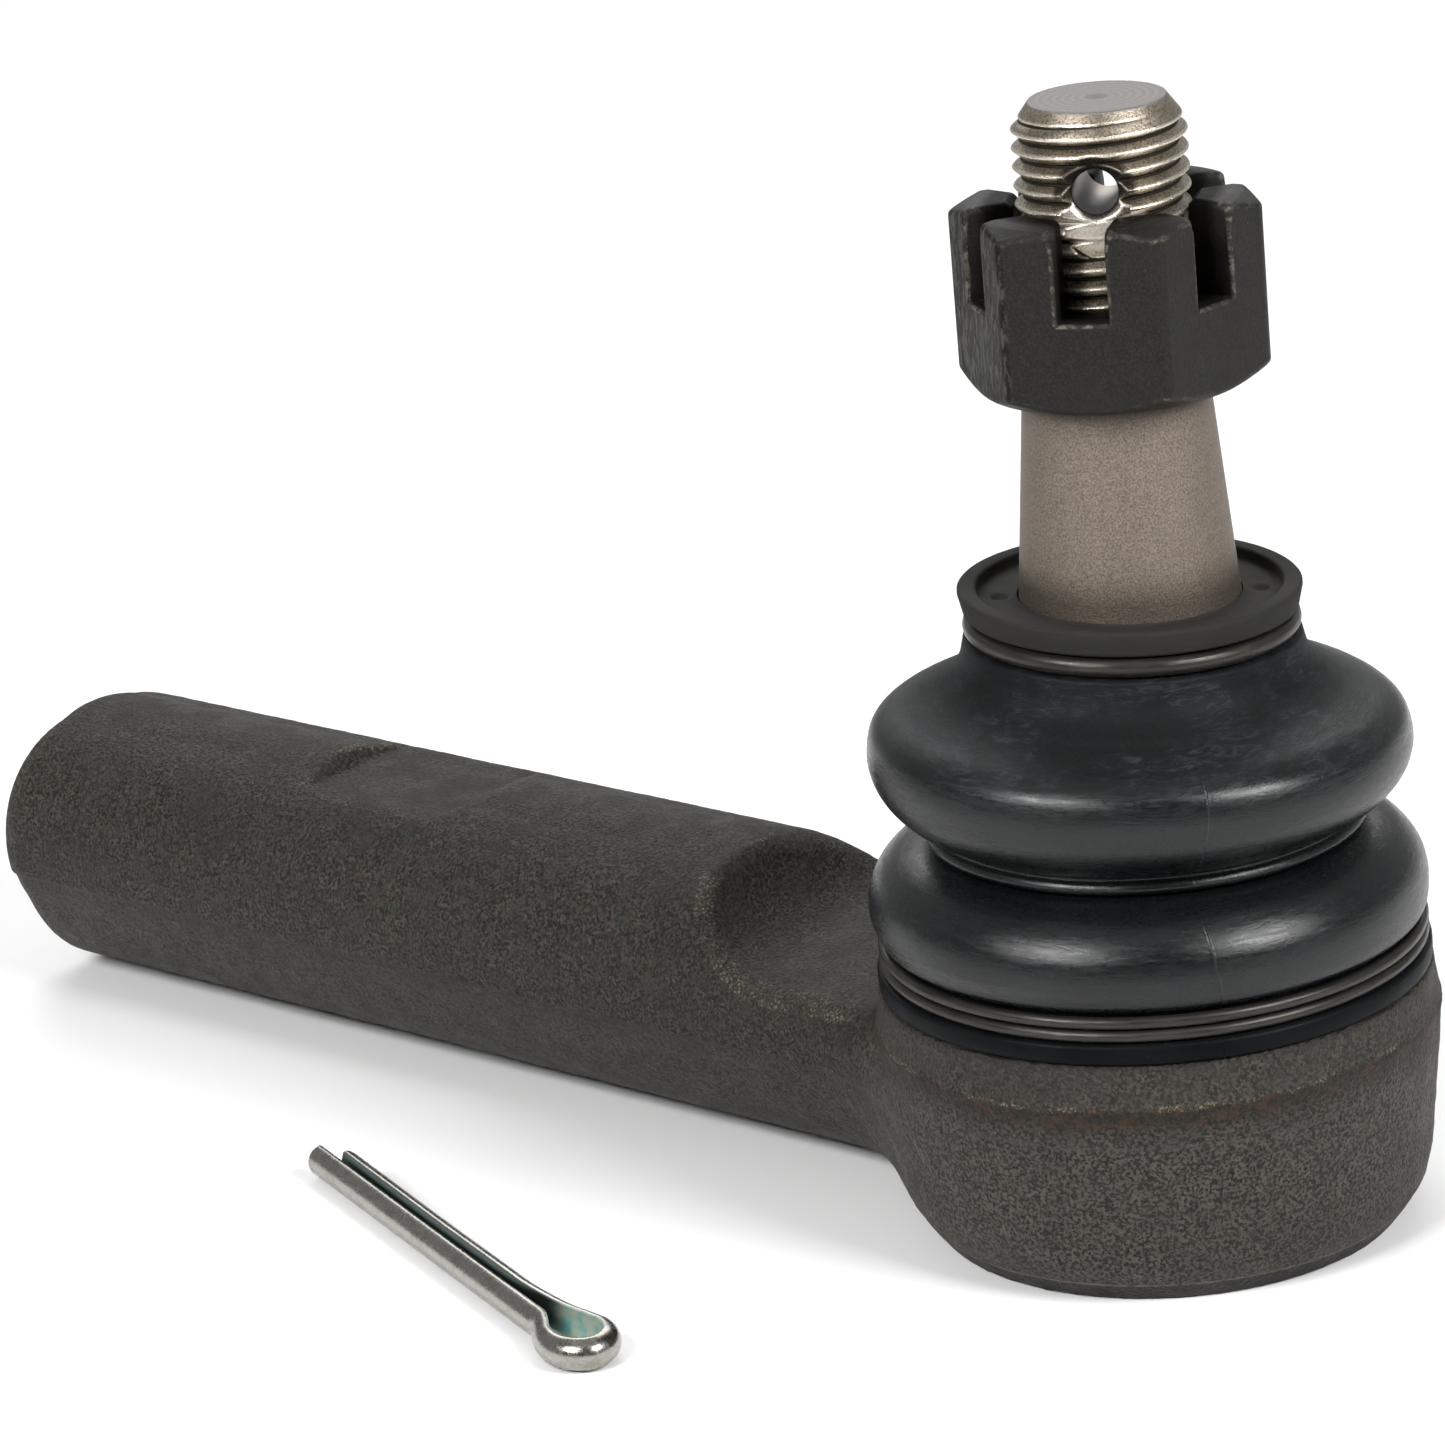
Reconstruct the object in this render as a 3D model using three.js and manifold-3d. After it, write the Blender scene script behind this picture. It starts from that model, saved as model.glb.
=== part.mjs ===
// Tie rod end: a forged socket on a round shank holds a ball stud with a tapered seat, a threaded end and a
// castle nut. A rubber bellows boot is clamped over the joint by two spring wire rings, and the nut's cotter
// pin lies beside it. Millimetres, +Z up: the stud stands on the Z axis, the shank runs along -X, and the
// socket and the shank both rest on z = 0.
import * as THREE from 'three';
import { mergeVertices } from 'three/addons/utils/BufferGeometryUtils.js';
import Module from 'manifold-3d';

const solids = await Module();
solids.setup();

const DEG = Math.PI / 180;
const GAP = 0.3; // space left between pieces that touch in the real joint

// Joint
const BALL_R = 10.5;
const BALL_Z = 14.5;
const BALL_FLAT = 9; // the ball's lower flat, measured below its centre
const SEAT_CLEARANCE = 0.1; // running clearance round the ball
const SWING_LIMIT = 25.5 * DEG; // largest tilt, with both swings at their limits
const FRONT = -51 * DEG; // azimuth faced by the front of the nut, boot and thread details

// Stud
const NECK_R = 6.8;
const NECK_TOP_Z = 32;
const COLLAR_R = 8.9;
const COLLAR_Z = 40;
const TAPER_Z = 52.5;
const TAPER_R = 8.94;
const TAPER_RISE = 1 / 12; // radius lost per millimetre: a 1 in 6 taper on the diameter
const TAPER_TOP_Z = 70.3;
const RELIEF_R = 6;
const THREAD_R = 6.95;
const THREAD_PITCH = 1.5;
const THREAD_DEPTH = 0.92;
const THREAD_Z = 71.9;
const THREAD_PHASE_Z = 90; // height of one thread crest on the stud's left side
const STUD_TOP_Z = 93.6;
const STUD_TOP_R = 5.27;
const STUD_CHAMFER = 2;
const PIN_HOLE_R = 1.75;
const PIN_HOLE_Z = 87.1;
const PIN_HOLE_AZIMUTH = -56 * DEG;

// Castle nut
const NUT_Z = 70.7;
const NUT_TOP_Z = 85.7;
const NUT_FLATS = 22;
const NUT_CORNER_R = 12.65;
const NUT_CORNER_AZIMUTH = 27.3 * DEG;
const NUT_BORE_R = 7.05;
const NUT_SLOT_W = 4;
const NUT_SLOT_Z = 78.2;

// Socket
const SOCKET_FOOT_R = 19;
const SOCKET_R = 23.1;
const SOCKET_SHOULDER_Z = 21.3;
const SOCKET_NECK_R = 19.4;
const SOCKET_TOP_Z = 27;
const SEAT_R = 13.6;
const SEAT_BORE_R = SEAT_R + GAP;
const SEAT_CEILING_Z = 22;
const SEAT_SPLIT_Z = 14.2;
const SEAT_FLOOR_Z = 4.6;
const COVER_R = 15.2;
const COVER_T = 2.5;

// Shank
const SHANK_R = 12.5;
const SHANK_SWELL = 1.1; // how far the upper die half is fuller than round, most at 25 degrees up
const SHANK_SWELL_ANGLE = 25 * DEG;
const SHANK_END_X = -127;
const SHANK_FILLET = 6;
const SHANK_BORE_R = 7.2;
const SHANK_BORE_DEPTH = 50;
const WRENCH_FLATS = 22;
const WRENCH_FLAT_X = [-91.5, -75];
const SCOOP_FLOOR_Z = 18.7;
const SCOOP_FLOOR_R = 35.5;
const SCOOP_FILLET = 5;
const SCOOP_SLOPE = 50 * DEG;
const SCOOP_EDGE_R = 43.3;
const SCOOP_TILT = 3.4;
const SCOOP_PIVOT_Y = 8;

// Boot and clamp rings
const BOOT_LEAN = 2.2 * DEG; // the boot's top sits a little higher on its left
const BOOT_LEAN_Z = [28, 50];
const UPPER_WIRE_R = 0.8;
const UPPER_RING_R = 12.75;
const UPPER_RING_Z = 50.9;
const LOWER_WIRE_R = 0.5;
const LOWER_RING_R = 21.87;
const LOWER_RING_Z = [23.65, 24.75];

// Cotter pin
const PIN_WIRE_R = 1.45;
const PIN_NECK = [-27, -47];
const PIN_AZIMUTH = -21 * DEG;
const PIN_LONG_LEG = 44;
const PIN_SHORT_LEG = 39.7;
const PIN_LEG_GAP = 0.1;
const PIN_LEG_RISE = 0.7;

// Facets round a full turn
const ROUND = 64;
const FINE = 40;
const THREAD_FACETS = 24;

const STEEL_FORGED = { color: 0x3a3632, roughness: 0.75, metalness: 0.5 };
const STEEL_TURNED = { color: 0x8c8278, roughness: 0.45, metalness: 0.9 };
const STEEL_BLACK = { color: 0x26262a, roughness: 0.55, metalness: 0.6 };
const STEEL_WIRE = { color: 0x4a433a, roughness: 0.5, metalness: 0.8 };
const STEEL_ZINC = { color: 0xb9bcb8, roughness: 0.3, metalness: 1 };
const RUBBER = { color: 0x15161a, roughness: 0.5, metalness: 0 };
const NYLON = { color: 0xd8d4c8, roughness: 0.6, metalness: 0 };

// A closed solid from any three.js geometry, turned outwards if it came out inside out.
function solid(geometry) {
  geometry.deleteAttribute('normal');
  geometry.deleteAttribute('uv');
  const merged = mergeVertices(geometry, 1e-5);
  const positions = merged.attributes.position.array;
  const triangles = [];
  let volume = 0;
  for (let i = 0; i < merged.index.count; i += 3) {
    const [a, b, c] = [0, 1, 2].map((k) => merged.index.getX(i + k));
    if (a === b || b === c || c === a) {
      continue;
    }
    triangles.push([a, b, c]);
    const [p, q, r] = [a, b, c].map((k) => new THREE.Vector3().fromArray(positions, 3 * k));
    volume += p.dot(q.cross(r));
  }
  const turned = triangles.map(([a, b, c]) => (volume < 0 ? [a, c, b] : [a, b, c]));
  const mesh = new solids.Mesh({
    numProp: 3,
    vertProperties: new Float32Array(positions),
    triVerts: new Uint32Array(turned.flat()),
  });
  return new solids.Manifold(mesh);
}

// A solid of revolution about the Z axis from [radius, z] points that start and end on the axis or close.
function turned(points, facets = ROUND) {
  const outline = points.map(([r, z]) => new THREE.Vector2(r, z));
  return solid(new THREE.LatheGeometry(outline, facets).rotateX(Math.PI / 2));
}

// A closed ring of revolution: the outline's first point is repeated at its end.
function turnedRing(points, facets = ROUND) {
  return turned([...points, points[0]], facets);
}

// Points of an arc in the [radius, z] plane, from one angle to another, both included.
function arc(centreR, centreZ, radius, from, to, steps) {
  return Array.from({ length: steps + 1 }, (_, i) => {
    const angle = from + ((to - from) * i) / steps;
    return [centreR + radius * Math.cos(angle), centreZ + radius * Math.sin(angle)];
  });
}

// A flat outline extruded along Z, then moved by the matrix.
function extruded(points, depth, matrix = new THREE.Matrix4()) {
  const shape = new THREE.Shape(points.map(([x, y]) => new THREE.Vector2(x, y)));
  const geometry = new THREE.ExtrudeGeometry(shape, { depth, bevelEnabled: false });
  return solid(geometry.applyMatrix4(matrix));
}

// A box between two corners, turned about the Z axis.
function block([x0, y0, z0], [x1, y1, z1], azimuth = 0) {
  const outline = [[x0, y0], [x1, y0], [x1, y1], [x0, y1]];
  const matrix = new THREE.Matrix4().makeRotationZ(azimuth).setPosition(0, 0, z0);
  return extruded(outline, z1 - z0, matrix);
}

// A solid skinned over equal rings of points, closed by a fan at each end.
function skinned(rings) {
  const count = rings[0].length;
  const points = rings.flat();
  const faces = [];
  for (let i = 0; i + 1 < rings.length; i += 1) {
    for (let j = 0; j < count; j += 1) {
      const a = i * count + j;
      const b = i * count + ((j + 1) % count);
      faces.push(a, b, b + count, a, b + count, a + count);
    }
  }
  const last = (rings.length - 1) * count;
  for (let j = 1; j + 1 < count; j += 1) {
    faces.push(0, j + 1, j, last, last + j, last + j + 1);
  }
  const geometry = new THREE.BufferGeometry();
  geometry.setAttribute('position', new THREE.Float32BufferAttribute(points.flat(), 3));
  geometry.setIndex(faces);
  return solid(geometry);
}

// A rod along the Z axis with one continuous right-hand thread, from z0 to at least z1.
function threadedRod(z0, z1, facets = THREAD_FACETS) {
  const crest = THREAD_R;
  const root = THREAD_R - THREAD_DEPTH;
  const profile = [[0, crest], [1 / 8, crest], [7 / 16, root], [11 / 16, root]];
  const left = FRONT - Math.PI / 2;
  const crestZ = THREAD_PHASE_Z - THREAD_PITCH * (left / (2 * Math.PI) + 1 / 16);
  const firstTurn = Math.floor((z0 - crestZ) / THREAD_PITCH) - 2;
  const turns = Math.ceil((z1 - z0) / THREAD_PITCH) + 5;
  const rows = turns * profile.length;
  const points = [];
  for (let row = 0; row < rows; row += 1) {
    const [phase, radius] = profile[row % profile.length];
    const turn = firstTurn + Math.floor(row / profile.length) + phase;
    for (let j = 0; j < facets; j += 1) {
      const angle = (j / facets) * 2 * Math.PI;
      const z = crestZ + THREAD_PITCH * (turn + j / facets);
      points.push(radius * Math.cos(angle), radius * Math.sin(angle), z);
    }
  }
  // Past the last facet a row carries on as the row one pitch higher.
  const at = (row, j) => (j < facets ? row * facets + j : (row + profile.length) * facets);
  const faces = [];
  for (let row = 0; row + 1 < rows - profile.length; row += 1) {
    for (let j = 0; j < facets; j += 1) {
      faces.push(at(row, j), at(row, j + 1), at(row + 1, j + 1));
      faces.push(at(row, j), at(row + 1, j + 1), at(row + 1, j));
    }
  }
  // Each end is a fan over one full turn of the edge and the step that closes it.
  const lastRow = rows - profile.length - 1;
  for (const [row, outward] of [[0, false], [lastRow, true]]) {
    const loop = Array.from({ length: facets + 1 }, (_, j) => at(row, j));
    for (let step = profile.length - 1; step > 0; step -= 1) {
      loop.push((row + step) * facets);
    }
    const centre = points.length / 3;
    points.push(0, 0, points[3 * at(row, facets / 2) + 2]);
    loop.forEach((from, k) => {
      const to = loop[(k + 1) % loop.length];
      faces.push(centre, ...(outward ? [from, to] : [to, from]));
    });
  }
  const geometry = new THREE.BufferGeometry();
  geometry.setAttribute('position', new THREE.Float32BufferAttribute(points, 3));
  geometry.setIndex(faces);
  return solid(geometry);
}

// A wire of the given outline swept along a curve.
function swept(outline, curve, steps) {
  const shape = new THREE.Shape(outline.map(([x, y]) => new THREE.Vector2(x, y)));
  return solid(new THREE.ExtrudeGeometry(shape, { steps, extrudePath: curve }));
}

// Radius that a stud tilted to its limit sweeps at a height above the ball's centre.
function sweptNeckR(z, margin) {
  const rise = z - BALL_Z;
  return (NECK_R + rise * Math.sin(SWING_LIMIT)) / Math.cos(SWING_LIMIT) + margin;
}

// Height change of the boot and its upper ring where they lean.
function lean(x, y, z) {
  const [low, high] = BOOT_LEAN_Z;
  const right = FRONT + Math.PI / 2;
  const share = THREE.MathUtils.smoothstep(z, low, high);
  return -share * Math.tan(BOOT_LEAN) * (x * Math.cos(right) + y * Math.sin(right));
}

function leaning(shape) {
  return shape.warp((point) => {
    point[2] += lean(...point);
  });
}

function housing() {
  const socket = turned([
    [0, 0],
    [SOCKET_FOOT_R, 0],
    [SOCKET_FOOT_R + 1.25, 1.65],
    [21.2, 3.1],
    [21.75, 5.2],
    [22.9, 15.3],
    [SOCKET_R, 17.5],
    [SOCKET_R - 0.1, 18],
    [SOCKET_R - 0.6, SOCKET_SHOULDER_Z - 0.2],
    [SOCKET_R - 0.8, SOCKET_SHOULDER_Z],
    [SOCKET_NECK_R, SOCKET_SHOULDER_Z],
    [SOCKET_NECK_R, SOCKET_TOP_Z - 1],
    [SOCKET_NECK_R - 1, SOCKET_TOP_Z],
    [0, SOCKET_TOP_Z],
  ]);
  const body = shank().subtract(bootScoop()).add(socket);
  const cavity = turned([
    [0, -1],
    [COVER_R + GAP, -1],
    [COVER_R + GAP, COVER_T + GAP],
    [SEAT_BORE_R, COVER_T + GAP],
    [SEAT_BORE_R, SEAT_CEILING_Z],
    [sweptNeckR(SEAT_CEILING_Z, 0.5), SEAT_CEILING_Z],
    [sweptNeckR(SOCKET_TOP_Z + 1, 0.5), SOCKET_TOP_Z + 1],
    [0, SOCKET_TOP_Z + 1],
  ]);
  return body.subtract(cavity).subtract(shankBore());
}

// The shank, widened where it runs into the socket by a fillet seen from above, with its wrench flats.
function shank() {
  const filletY = SHANK_R + SHANK_FILLET;
  const filletX = -Math.sqrt((22 + SHANK_FILLET) ** 2 - filletY ** 2);
  const stations = [[SHANK_END_X, SHANK_R - 1, SHANK_R - 1], [SHANK_END_X + 1, SHANK_R, SHANK_R]];
  for (let step = 0; step <= 5; step += 1) {
    const run = (step / 5) * 0.75 * SHANK_FILLET;
    const halfWidth = filletY - Math.sqrt(SHANK_FILLET ** 2 - run ** 2);
    stations.push([filletX + run, halfWidth, SHANK_R]);
  }
  stations.push([-12, stations.at(-1)[1], SHANK_R]);
  const rings = stations.map(([x, halfWidth, halfHeight]) =>
    Array.from({ length: FINE }, (_, j) => {
      const angle = (j / FINE) * 2 * Math.PI;
      const [across, up] = [Math.cos(angle), Math.sin(angle)];
      const rise = Math.atan2(up, Math.abs(across)) - SHANK_SWELL_ANGLE;
      const swell = Math.abs(rise) < Math.PI / 4 ? SHANK_SWELL * Math.cos(2 * rise) : 0;
      return [x, (halfWidth + swell) * across, SHANK_R + (halfHeight + swell) * up];
    }),
  );
  return skinned(rings).subtract(wrenchFlat(1)).subtract(wrenchFlat(-1));
}

// The cutter for one wrench flat, above (side 1) or below (side -1) the shank's axis.
function wrenchFlat(side) {
  const [x0, x1] = WRENCH_FLAT_X;
  const depth = WRENCH_FLATS / 2;
  const outline = [[x0, depth], [x1, depth], [x1 + 6, depth + 3], [x0 - 3, depth + 3]];
  const placed = outline.map(([x, z]) => [x, SHANK_R + side * z]);
  const upright = new THREE.Matrix4().makeRotationX(Math.PI / 2).setPosition(0, SHANK_R + 2, 0);
  return extruded(placed, 2 * SHANK_R + 4, upright);
}

// The plain bore that stands in for the shank's internal thread, open at the shank's end.
function shankBore() {
  const point = SHANK_BORE_R / Math.tan(59 * DEG);
  const bore = new THREE.LatheGeometry(
    [
      [0, -1],
      [SHANK_BORE_R + 2, -1],
      [SHANK_BORE_R, 1],
      [SHANK_BORE_R, SHANK_BORE_DEPTH],
      [0, SHANK_BORE_DEPTH + point],
    ].map(([r, depth]) => new THREE.Vector2(r, depth)),
    FINE,
  );
  bore.rotateZ(-Math.PI / 2).translate(SHANK_END_X, 0, SHANK_R);
  return solid(bore);
}

// The cutter that clears the boot: a dish turned about the stud's axis, then tipped down at the front.
function bootScoop() {
  const centreZ = SCOOP_FLOOR_Z + SCOOP_FILLET;
  const from = -Math.PI / 2;
  const curve = arc(SCOOP_FLOOR_R, centreZ, SCOOP_FILLET, from, from + SCOOP_SLOPE, 5);
  const [slopeR, slopeZ] = curve.at(-1);
  const edgeZ = slopeZ + (SCOOP_EDGE_R - slopeR) * Math.tan(SCOOP_SLOPE);
  const dish = turned([
    [0, SCOOP_FLOOR_Z],
    ...curve,
    [SCOOP_EDGE_R, edgeZ],
    [SCOOP_EDGE_R + 3.4, edgeZ + 0.9],
    [SCOOP_EDGE_R + 3.4, edgeZ + 6],
    [0, edgeZ + 6],
  ]);
  return dish
    .translate([0, -SCOOP_PIVOT_Y, -SCOOP_FLOOR_Z])
    .rotate([SCOOP_TILT, 0, 0])
    .translate([0, SCOOP_PIVOT_Y, SCOOP_FLOOR_Z]);
}

function coverPlate() {
  return turned([[0, 0], [COVER_R, 0], [COVER_R, COVER_T], [0, COVER_T]]);
}

// A dished spring washer that pushes the lower seat up against the ball.
function preloadSpring() {
  const low = COVER_T + GAP;
  const high = SEAT_FLOOR_Z - GAP;
  return turnedRing([[12.8, low], [12.8, low + 0.8], [6, high], [6, high - 0.8]], FINE);
}

function lowerSeat() {
  const radius = BALL_R + SEAT_CLEARANCE;
  const holeR = 5.8;
  const from = -Math.acos(holeR / radius);
  const to = Math.asin((SEAT_SPLIT_Z - GAP - BALL_Z) / radius);
  return turnedRing([
    [SEAT_R, SEAT_SPLIT_Z - GAP],
    [SEAT_R, SEAT_FLOOR_Z],
    [holeR, SEAT_FLOOR_Z],
    ...arc(0, BALL_Z, radius, from, to, 8),
  ], FINE);
}

function upperSeat() {
  const radius = BALL_R + SEAT_CLEARANCE;
  const top = SEAT_CEILING_Z - GAP;
  const rim = Math.PI / 2 - Math.asin(NECK_R / BALL_R) - SWING_LIMIT;
  const from = Math.asin((SEAT_SPLIT_Z - BALL_Z) / radius);
  return turnedRing([
    [SEAT_R, SEAT_SPLIT_Z],
    ...arc(0, BALL_Z, radius, from, rim, 4),
    [sweptNeckR(top, 0.4), top],
    [SEAT_R, top],
  ], FINE);
}

function ballStud() {
  const ballFrom = -Math.asin(BALL_FLAT / BALL_R);
  const ballTo = Math.acos(NECK_R / BALL_R);
  const taperTopR = TAPER_R - (TAPER_TOP_Z - TAPER_Z) * TAPER_RISE;
  const blank = turned(
    [
      [0, BALL_Z - BALL_FLAT],
      ...arc(0, BALL_Z, BALL_R, ballFrom, ballTo, 18),
      [NECK_R, NECK_TOP_Z],
      [COLLAR_R, COLLAR_Z],
      [TAPER_R, TAPER_Z],
      [taperTopR, TAPER_TOP_Z],
      [RELIEF_R, TAPER_TOP_Z + 0.6],
      [RELIEF_R, THREAD_Z + 0.5],
      [0, THREAD_Z + 0.5],
    ],
    FINE,
  );
  const threadEnvelope = turned(
    [
      [0, THREAD_Z],
      [RELIEF_R - 0.1, THREAD_Z],
      [THREAD_R + 0.1, THREAD_Z + 1],
      [THREAD_R + 0.1, STUD_TOP_Z - STUD_CHAMFER],
      [STUD_TOP_R, STUD_TOP_Z],
      [0, STUD_TOP_Z],
    ],
    FINE,
  );
  const thread = threadedRod(THREAD_Z, STUD_TOP_Z).intersect(threadEnvelope);
  return blank.add(thread).subtract(pinHole());
}

// The cross hole for the cotter pin.
function pinHole() {
  const drill = new THREE.CylinderGeometry(PIN_HOLE_R, PIN_HOLE_R, 4 * THREAD_R, 24);
  drill.rotateZ(Math.PI / 2).rotateZ(PIN_HOLE_AZIMUTH).translate(0, 0, PIN_HOLE_Z);
  return solid(drill);
}

function castleNut() {
  const corner = NUT_FLATS / 2 / Math.cos(30 * DEG);
  const hexagon = Array.from({ length: 6 }, (_, i) => {
    const angle = NUT_CORNER_AZIMUTH + i * 60 * DEG;
    return [corner * Math.cos(angle), corner * Math.sin(angle)];
  });
  const height = NUT_TOP_Z - NUT_Z;
  const lift = new THREE.Matrix4().setPosition(0, 0, NUT_Z);
  const envelope = turned([
    [0, NUT_Z],
    [10.2, NUT_Z],
    [NUT_CORNER_R, NUT_Z + 1.35],
    [NUT_CORNER_R, NUT_TOP_Z - 1],
    [10.8, NUT_TOP_Z],
    [0, NUT_TOP_Z],
  ]);
  const bore = turned(
    [
      [0, NUT_Z - 1],
      [NUT_BORE_R + 1.65, NUT_Z - 1],
      [NUT_BORE_R, NUT_Z + 0.65],
      [NUT_BORE_R, NUT_TOP_Z - 0.5],
      [NUT_BORE_R + 1.5, NUT_TOP_Z + 1],
      [0, NUT_TOP_Z + 1],
    ],
    FINE,
  );
  let nut = extruded(hexagon, height, lift).intersect(envelope).subtract(bore);
  for (let i = 0; i < 3; i += 1) {
    const azimuth = NUT_CORNER_AZIMUTH + (30 + 60 * i) * DEG;
    const low = [-15, -NUT_SLOT_W / 2, NUT_SLOT_Z];
    nut = nut.subtract(block(low, [15, NUT_SLOT_W / 2, NUT_TOP_Z + 1], azimuth));
  }
  return nut;
}

// The bellows: its outer skin from the lower lip to the rim, then its inner skin back down.
function dustBoot() {
  const [lowWire, highWire] = LOWER_RING_Z;
  const lowerGrooveR = LOWER_RING_R - LOWER_WIRE_R - GAP;
  const upperGrooveR = UPPER_RING_R - UPPER_WIRE_R - GAP;
  const lowerLip = SOCKET_SHOULDER_Z + GAP;
  const lipBoreR = SOCKET_NECK_R + GAP;
  const studBoreR = TAPER_R + GAP;
  const bellows = turnedRing([
    [lipBoreR, lowerLip],
    [22.5, lowerLip],
    [22.5, lowWire - LOWER_WIRE_R - 0.25],
    [lowerGrooveR, lowWire - LOWER_WIRE_R - 0.1],
    [lowerGrooveR, highWire + LOWER_WIRE_R + 0.1],
    [21.9, 25.6],
    [22.5, 26.6],
    [22.8, 28.2],
    [22.45, 30],
    [21.2, 32],
    [19.5, 33],
    [18, 33.45],
    [16.8, 33.6],
    [17.8, 33.85],
    [18, 34.35],
    [17.5, 34.95],
    [18.6, 35.7],
    [20.2, 36.8],
    [21.3, 38],
    [21.9, 39.6],
    [21.95, 40.6],
    [21.6, 42],
    [21, 43],
    [19.95, 43.85],
    [18.35, 44.75],
    [16.5, 45.7],
    [14.8, 46.85],
    [13.9, 48.1],
    [13.6, 49.4],
    [upperGrooveR, UPPER_RING_Z - UPPER_WIRE_R - 0.15],
    [upperGrooveR, UPPER_RING_Z + UPPER_WIRE_R + 0.15],
    [13.4, 52],
    [13.8, 53.75],
    [13.5, 54.05],
    [12.3, 54.05],
    [12.2, 53.3],
    [studBoreR, 53.2],
    [studBoreR, 47.6],
    [12.5, 46.4],
    [14.5, 45.2],
    [17, 43.7],
    [19.3, 42],
    [20.1, 40.4],
    [19.4, 37.8],
    [17.4, 36.9],
    [15.5, 35.8],
    [15.4, 33.6],
    [18.6, 32.2],
    [20.2, 30.4],
    [20.7, 28],
    [20.3, 26.9],
    [lipBoreR, 26.2],
  ], FINE);
  return leaning(bellows);
}

function upperClampRing() {
  const wire = arc(UPPER_RING_R, UPPER_RING_Z, UPPER_WIRE_R, 0, 2 * Math.PI, 8);
  return leaning(turnedRing(wire.slice(0, -1), FINE));
}

// Two turns of wire, each lying flat, with the step from one to the next at the back.
class TwoTurnRing extends THREE.Curve {
  getPoint(t, target = new THREE.Vector3()) {
    const start = FRONT + Math.PI + 22 * DEG;
    const angle = t * (720 - 44) * DEG;
    const step = THREE.MathUtils.smoothstep(angle, (360 - 44) * DEG, 360 * DEG);
    const z = THREE.MathUtils.lerp(...LOWER_RING_Z, step);
    return target.set(
      LOWER_RING_R * Math.cos(start + angle),
      LOWER_RING_R * Math.sin(start + angle),
      z,
    );
  }
}

function lowerClampRing() {
  const wire = arc(0, 0, LOWER_WIRE_R, 0, 2 * Math.PI, 7).slice(0, -1);
  return swept(wire, new TwoTurnRing(), 90);
}

// Half-round wire bent back on itself: the short leg, the eye and the long leg, flat sides facing inwards.
function cotterPin() {
  const side = PIN_LEG_GAP / 2;
  const along = [
    [-PIN_SHORT_LEG, side, PIN_LEG_RISE],
    [-20, side, PIN_LEG_RISE],
    [-9, side, PIN_LEG_RISE],
    [-5, 0.2, 0.8 * PIN_LEG_RISE],
    [-2, 0.65, 0.5 * PIN_LEG_RISE],
    [1.1, 1.4, 0.2 * PIN_LEG_RISE],
    [3.4, 2.25],
    [5, 2.55],
    [6.4, 2.1],
    [7.3, 1.1],
    [7.35, 0.1],
    [6.6, -0.8],
    [5.3, -1.3],
    [3.6, -1.15],
    [1.9, -0.55],
    [0.4, -side - 0.03],
    [-2, -side],
    [-20, -side],
    [-PIN_LONG_LEG, -side],
  ];
  const [x0, y0] = PIN_NECK;
  const [cos, sin] = [Math.cos(PIN_AZIMUTH), Math.sin(PIN_AZIMUTH)];
  const path = along.map(
    ([u, w, rise = 0]) =>
      new THREE.Vector3(x0 + u * cos - w * sin, y0 + u * sin + w * cos, PIN_WIRE_R + rise),
  );
  const curve = new THREE.CatmullRomCurve3(path, false, 'centripetal');
  const halfRound = arc(0, 0, PIN_WIRE_R, 0, Math.PI, 6);
  return swept(halfRound, curve, 110);
}

const PIECES = [
  ['housing', housing, STEEL_FORGED],
  ['cover_plate', coverPlate, STEEL_FORGED],
  ['preload_spring', preloadSpring, STEEL_WIRE],
  ['lower_bearing_seat', lowerSeat, NYLON],
  ['upper_bearing_seat', upperSeat, NYLON],
  ['ball_stud', ballStud, STEEL_TURNED],
  ['dust_boot', dustBoot, RUBBER],
  ['lower_clamp_ring', lowerClampRing, STEEL_WIRE],
  ['upper_clamp_ring', upperClampRing, STEEL_WIRE],
  ['castle_nut', castleNut, STEEL_BLACK],
  ['cotter_pin', cotterPin, STEEL_ZINC],
];

const group = new THREE.Group();
group.name = 'tie_rod_end';
for (const [name, build, look] of PIECES) {
  const { vertProperties, triVerts } = build().getMesh();
  const geometry = new THREE.BufferGeometry();
  geometry.setAttribute('position', new THREE.BufferAttribute(new Float32Array(vertProperties), 3));
  geometry.setIndex(new THREE.BufferAttribute(new Uint32Array(triVerts), 1));
  geometry.computeVertexNormals();
  const mesh = new THREE.Mesh(geometry, new THREE.MeshStandardMaterial(look));
  mesh.name = name;
  group.add(mesh);
}

export default group;
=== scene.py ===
import math

import bpy
import numpy as np
import openvdb
from mathutils import Matrix, Vector, noise


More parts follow.
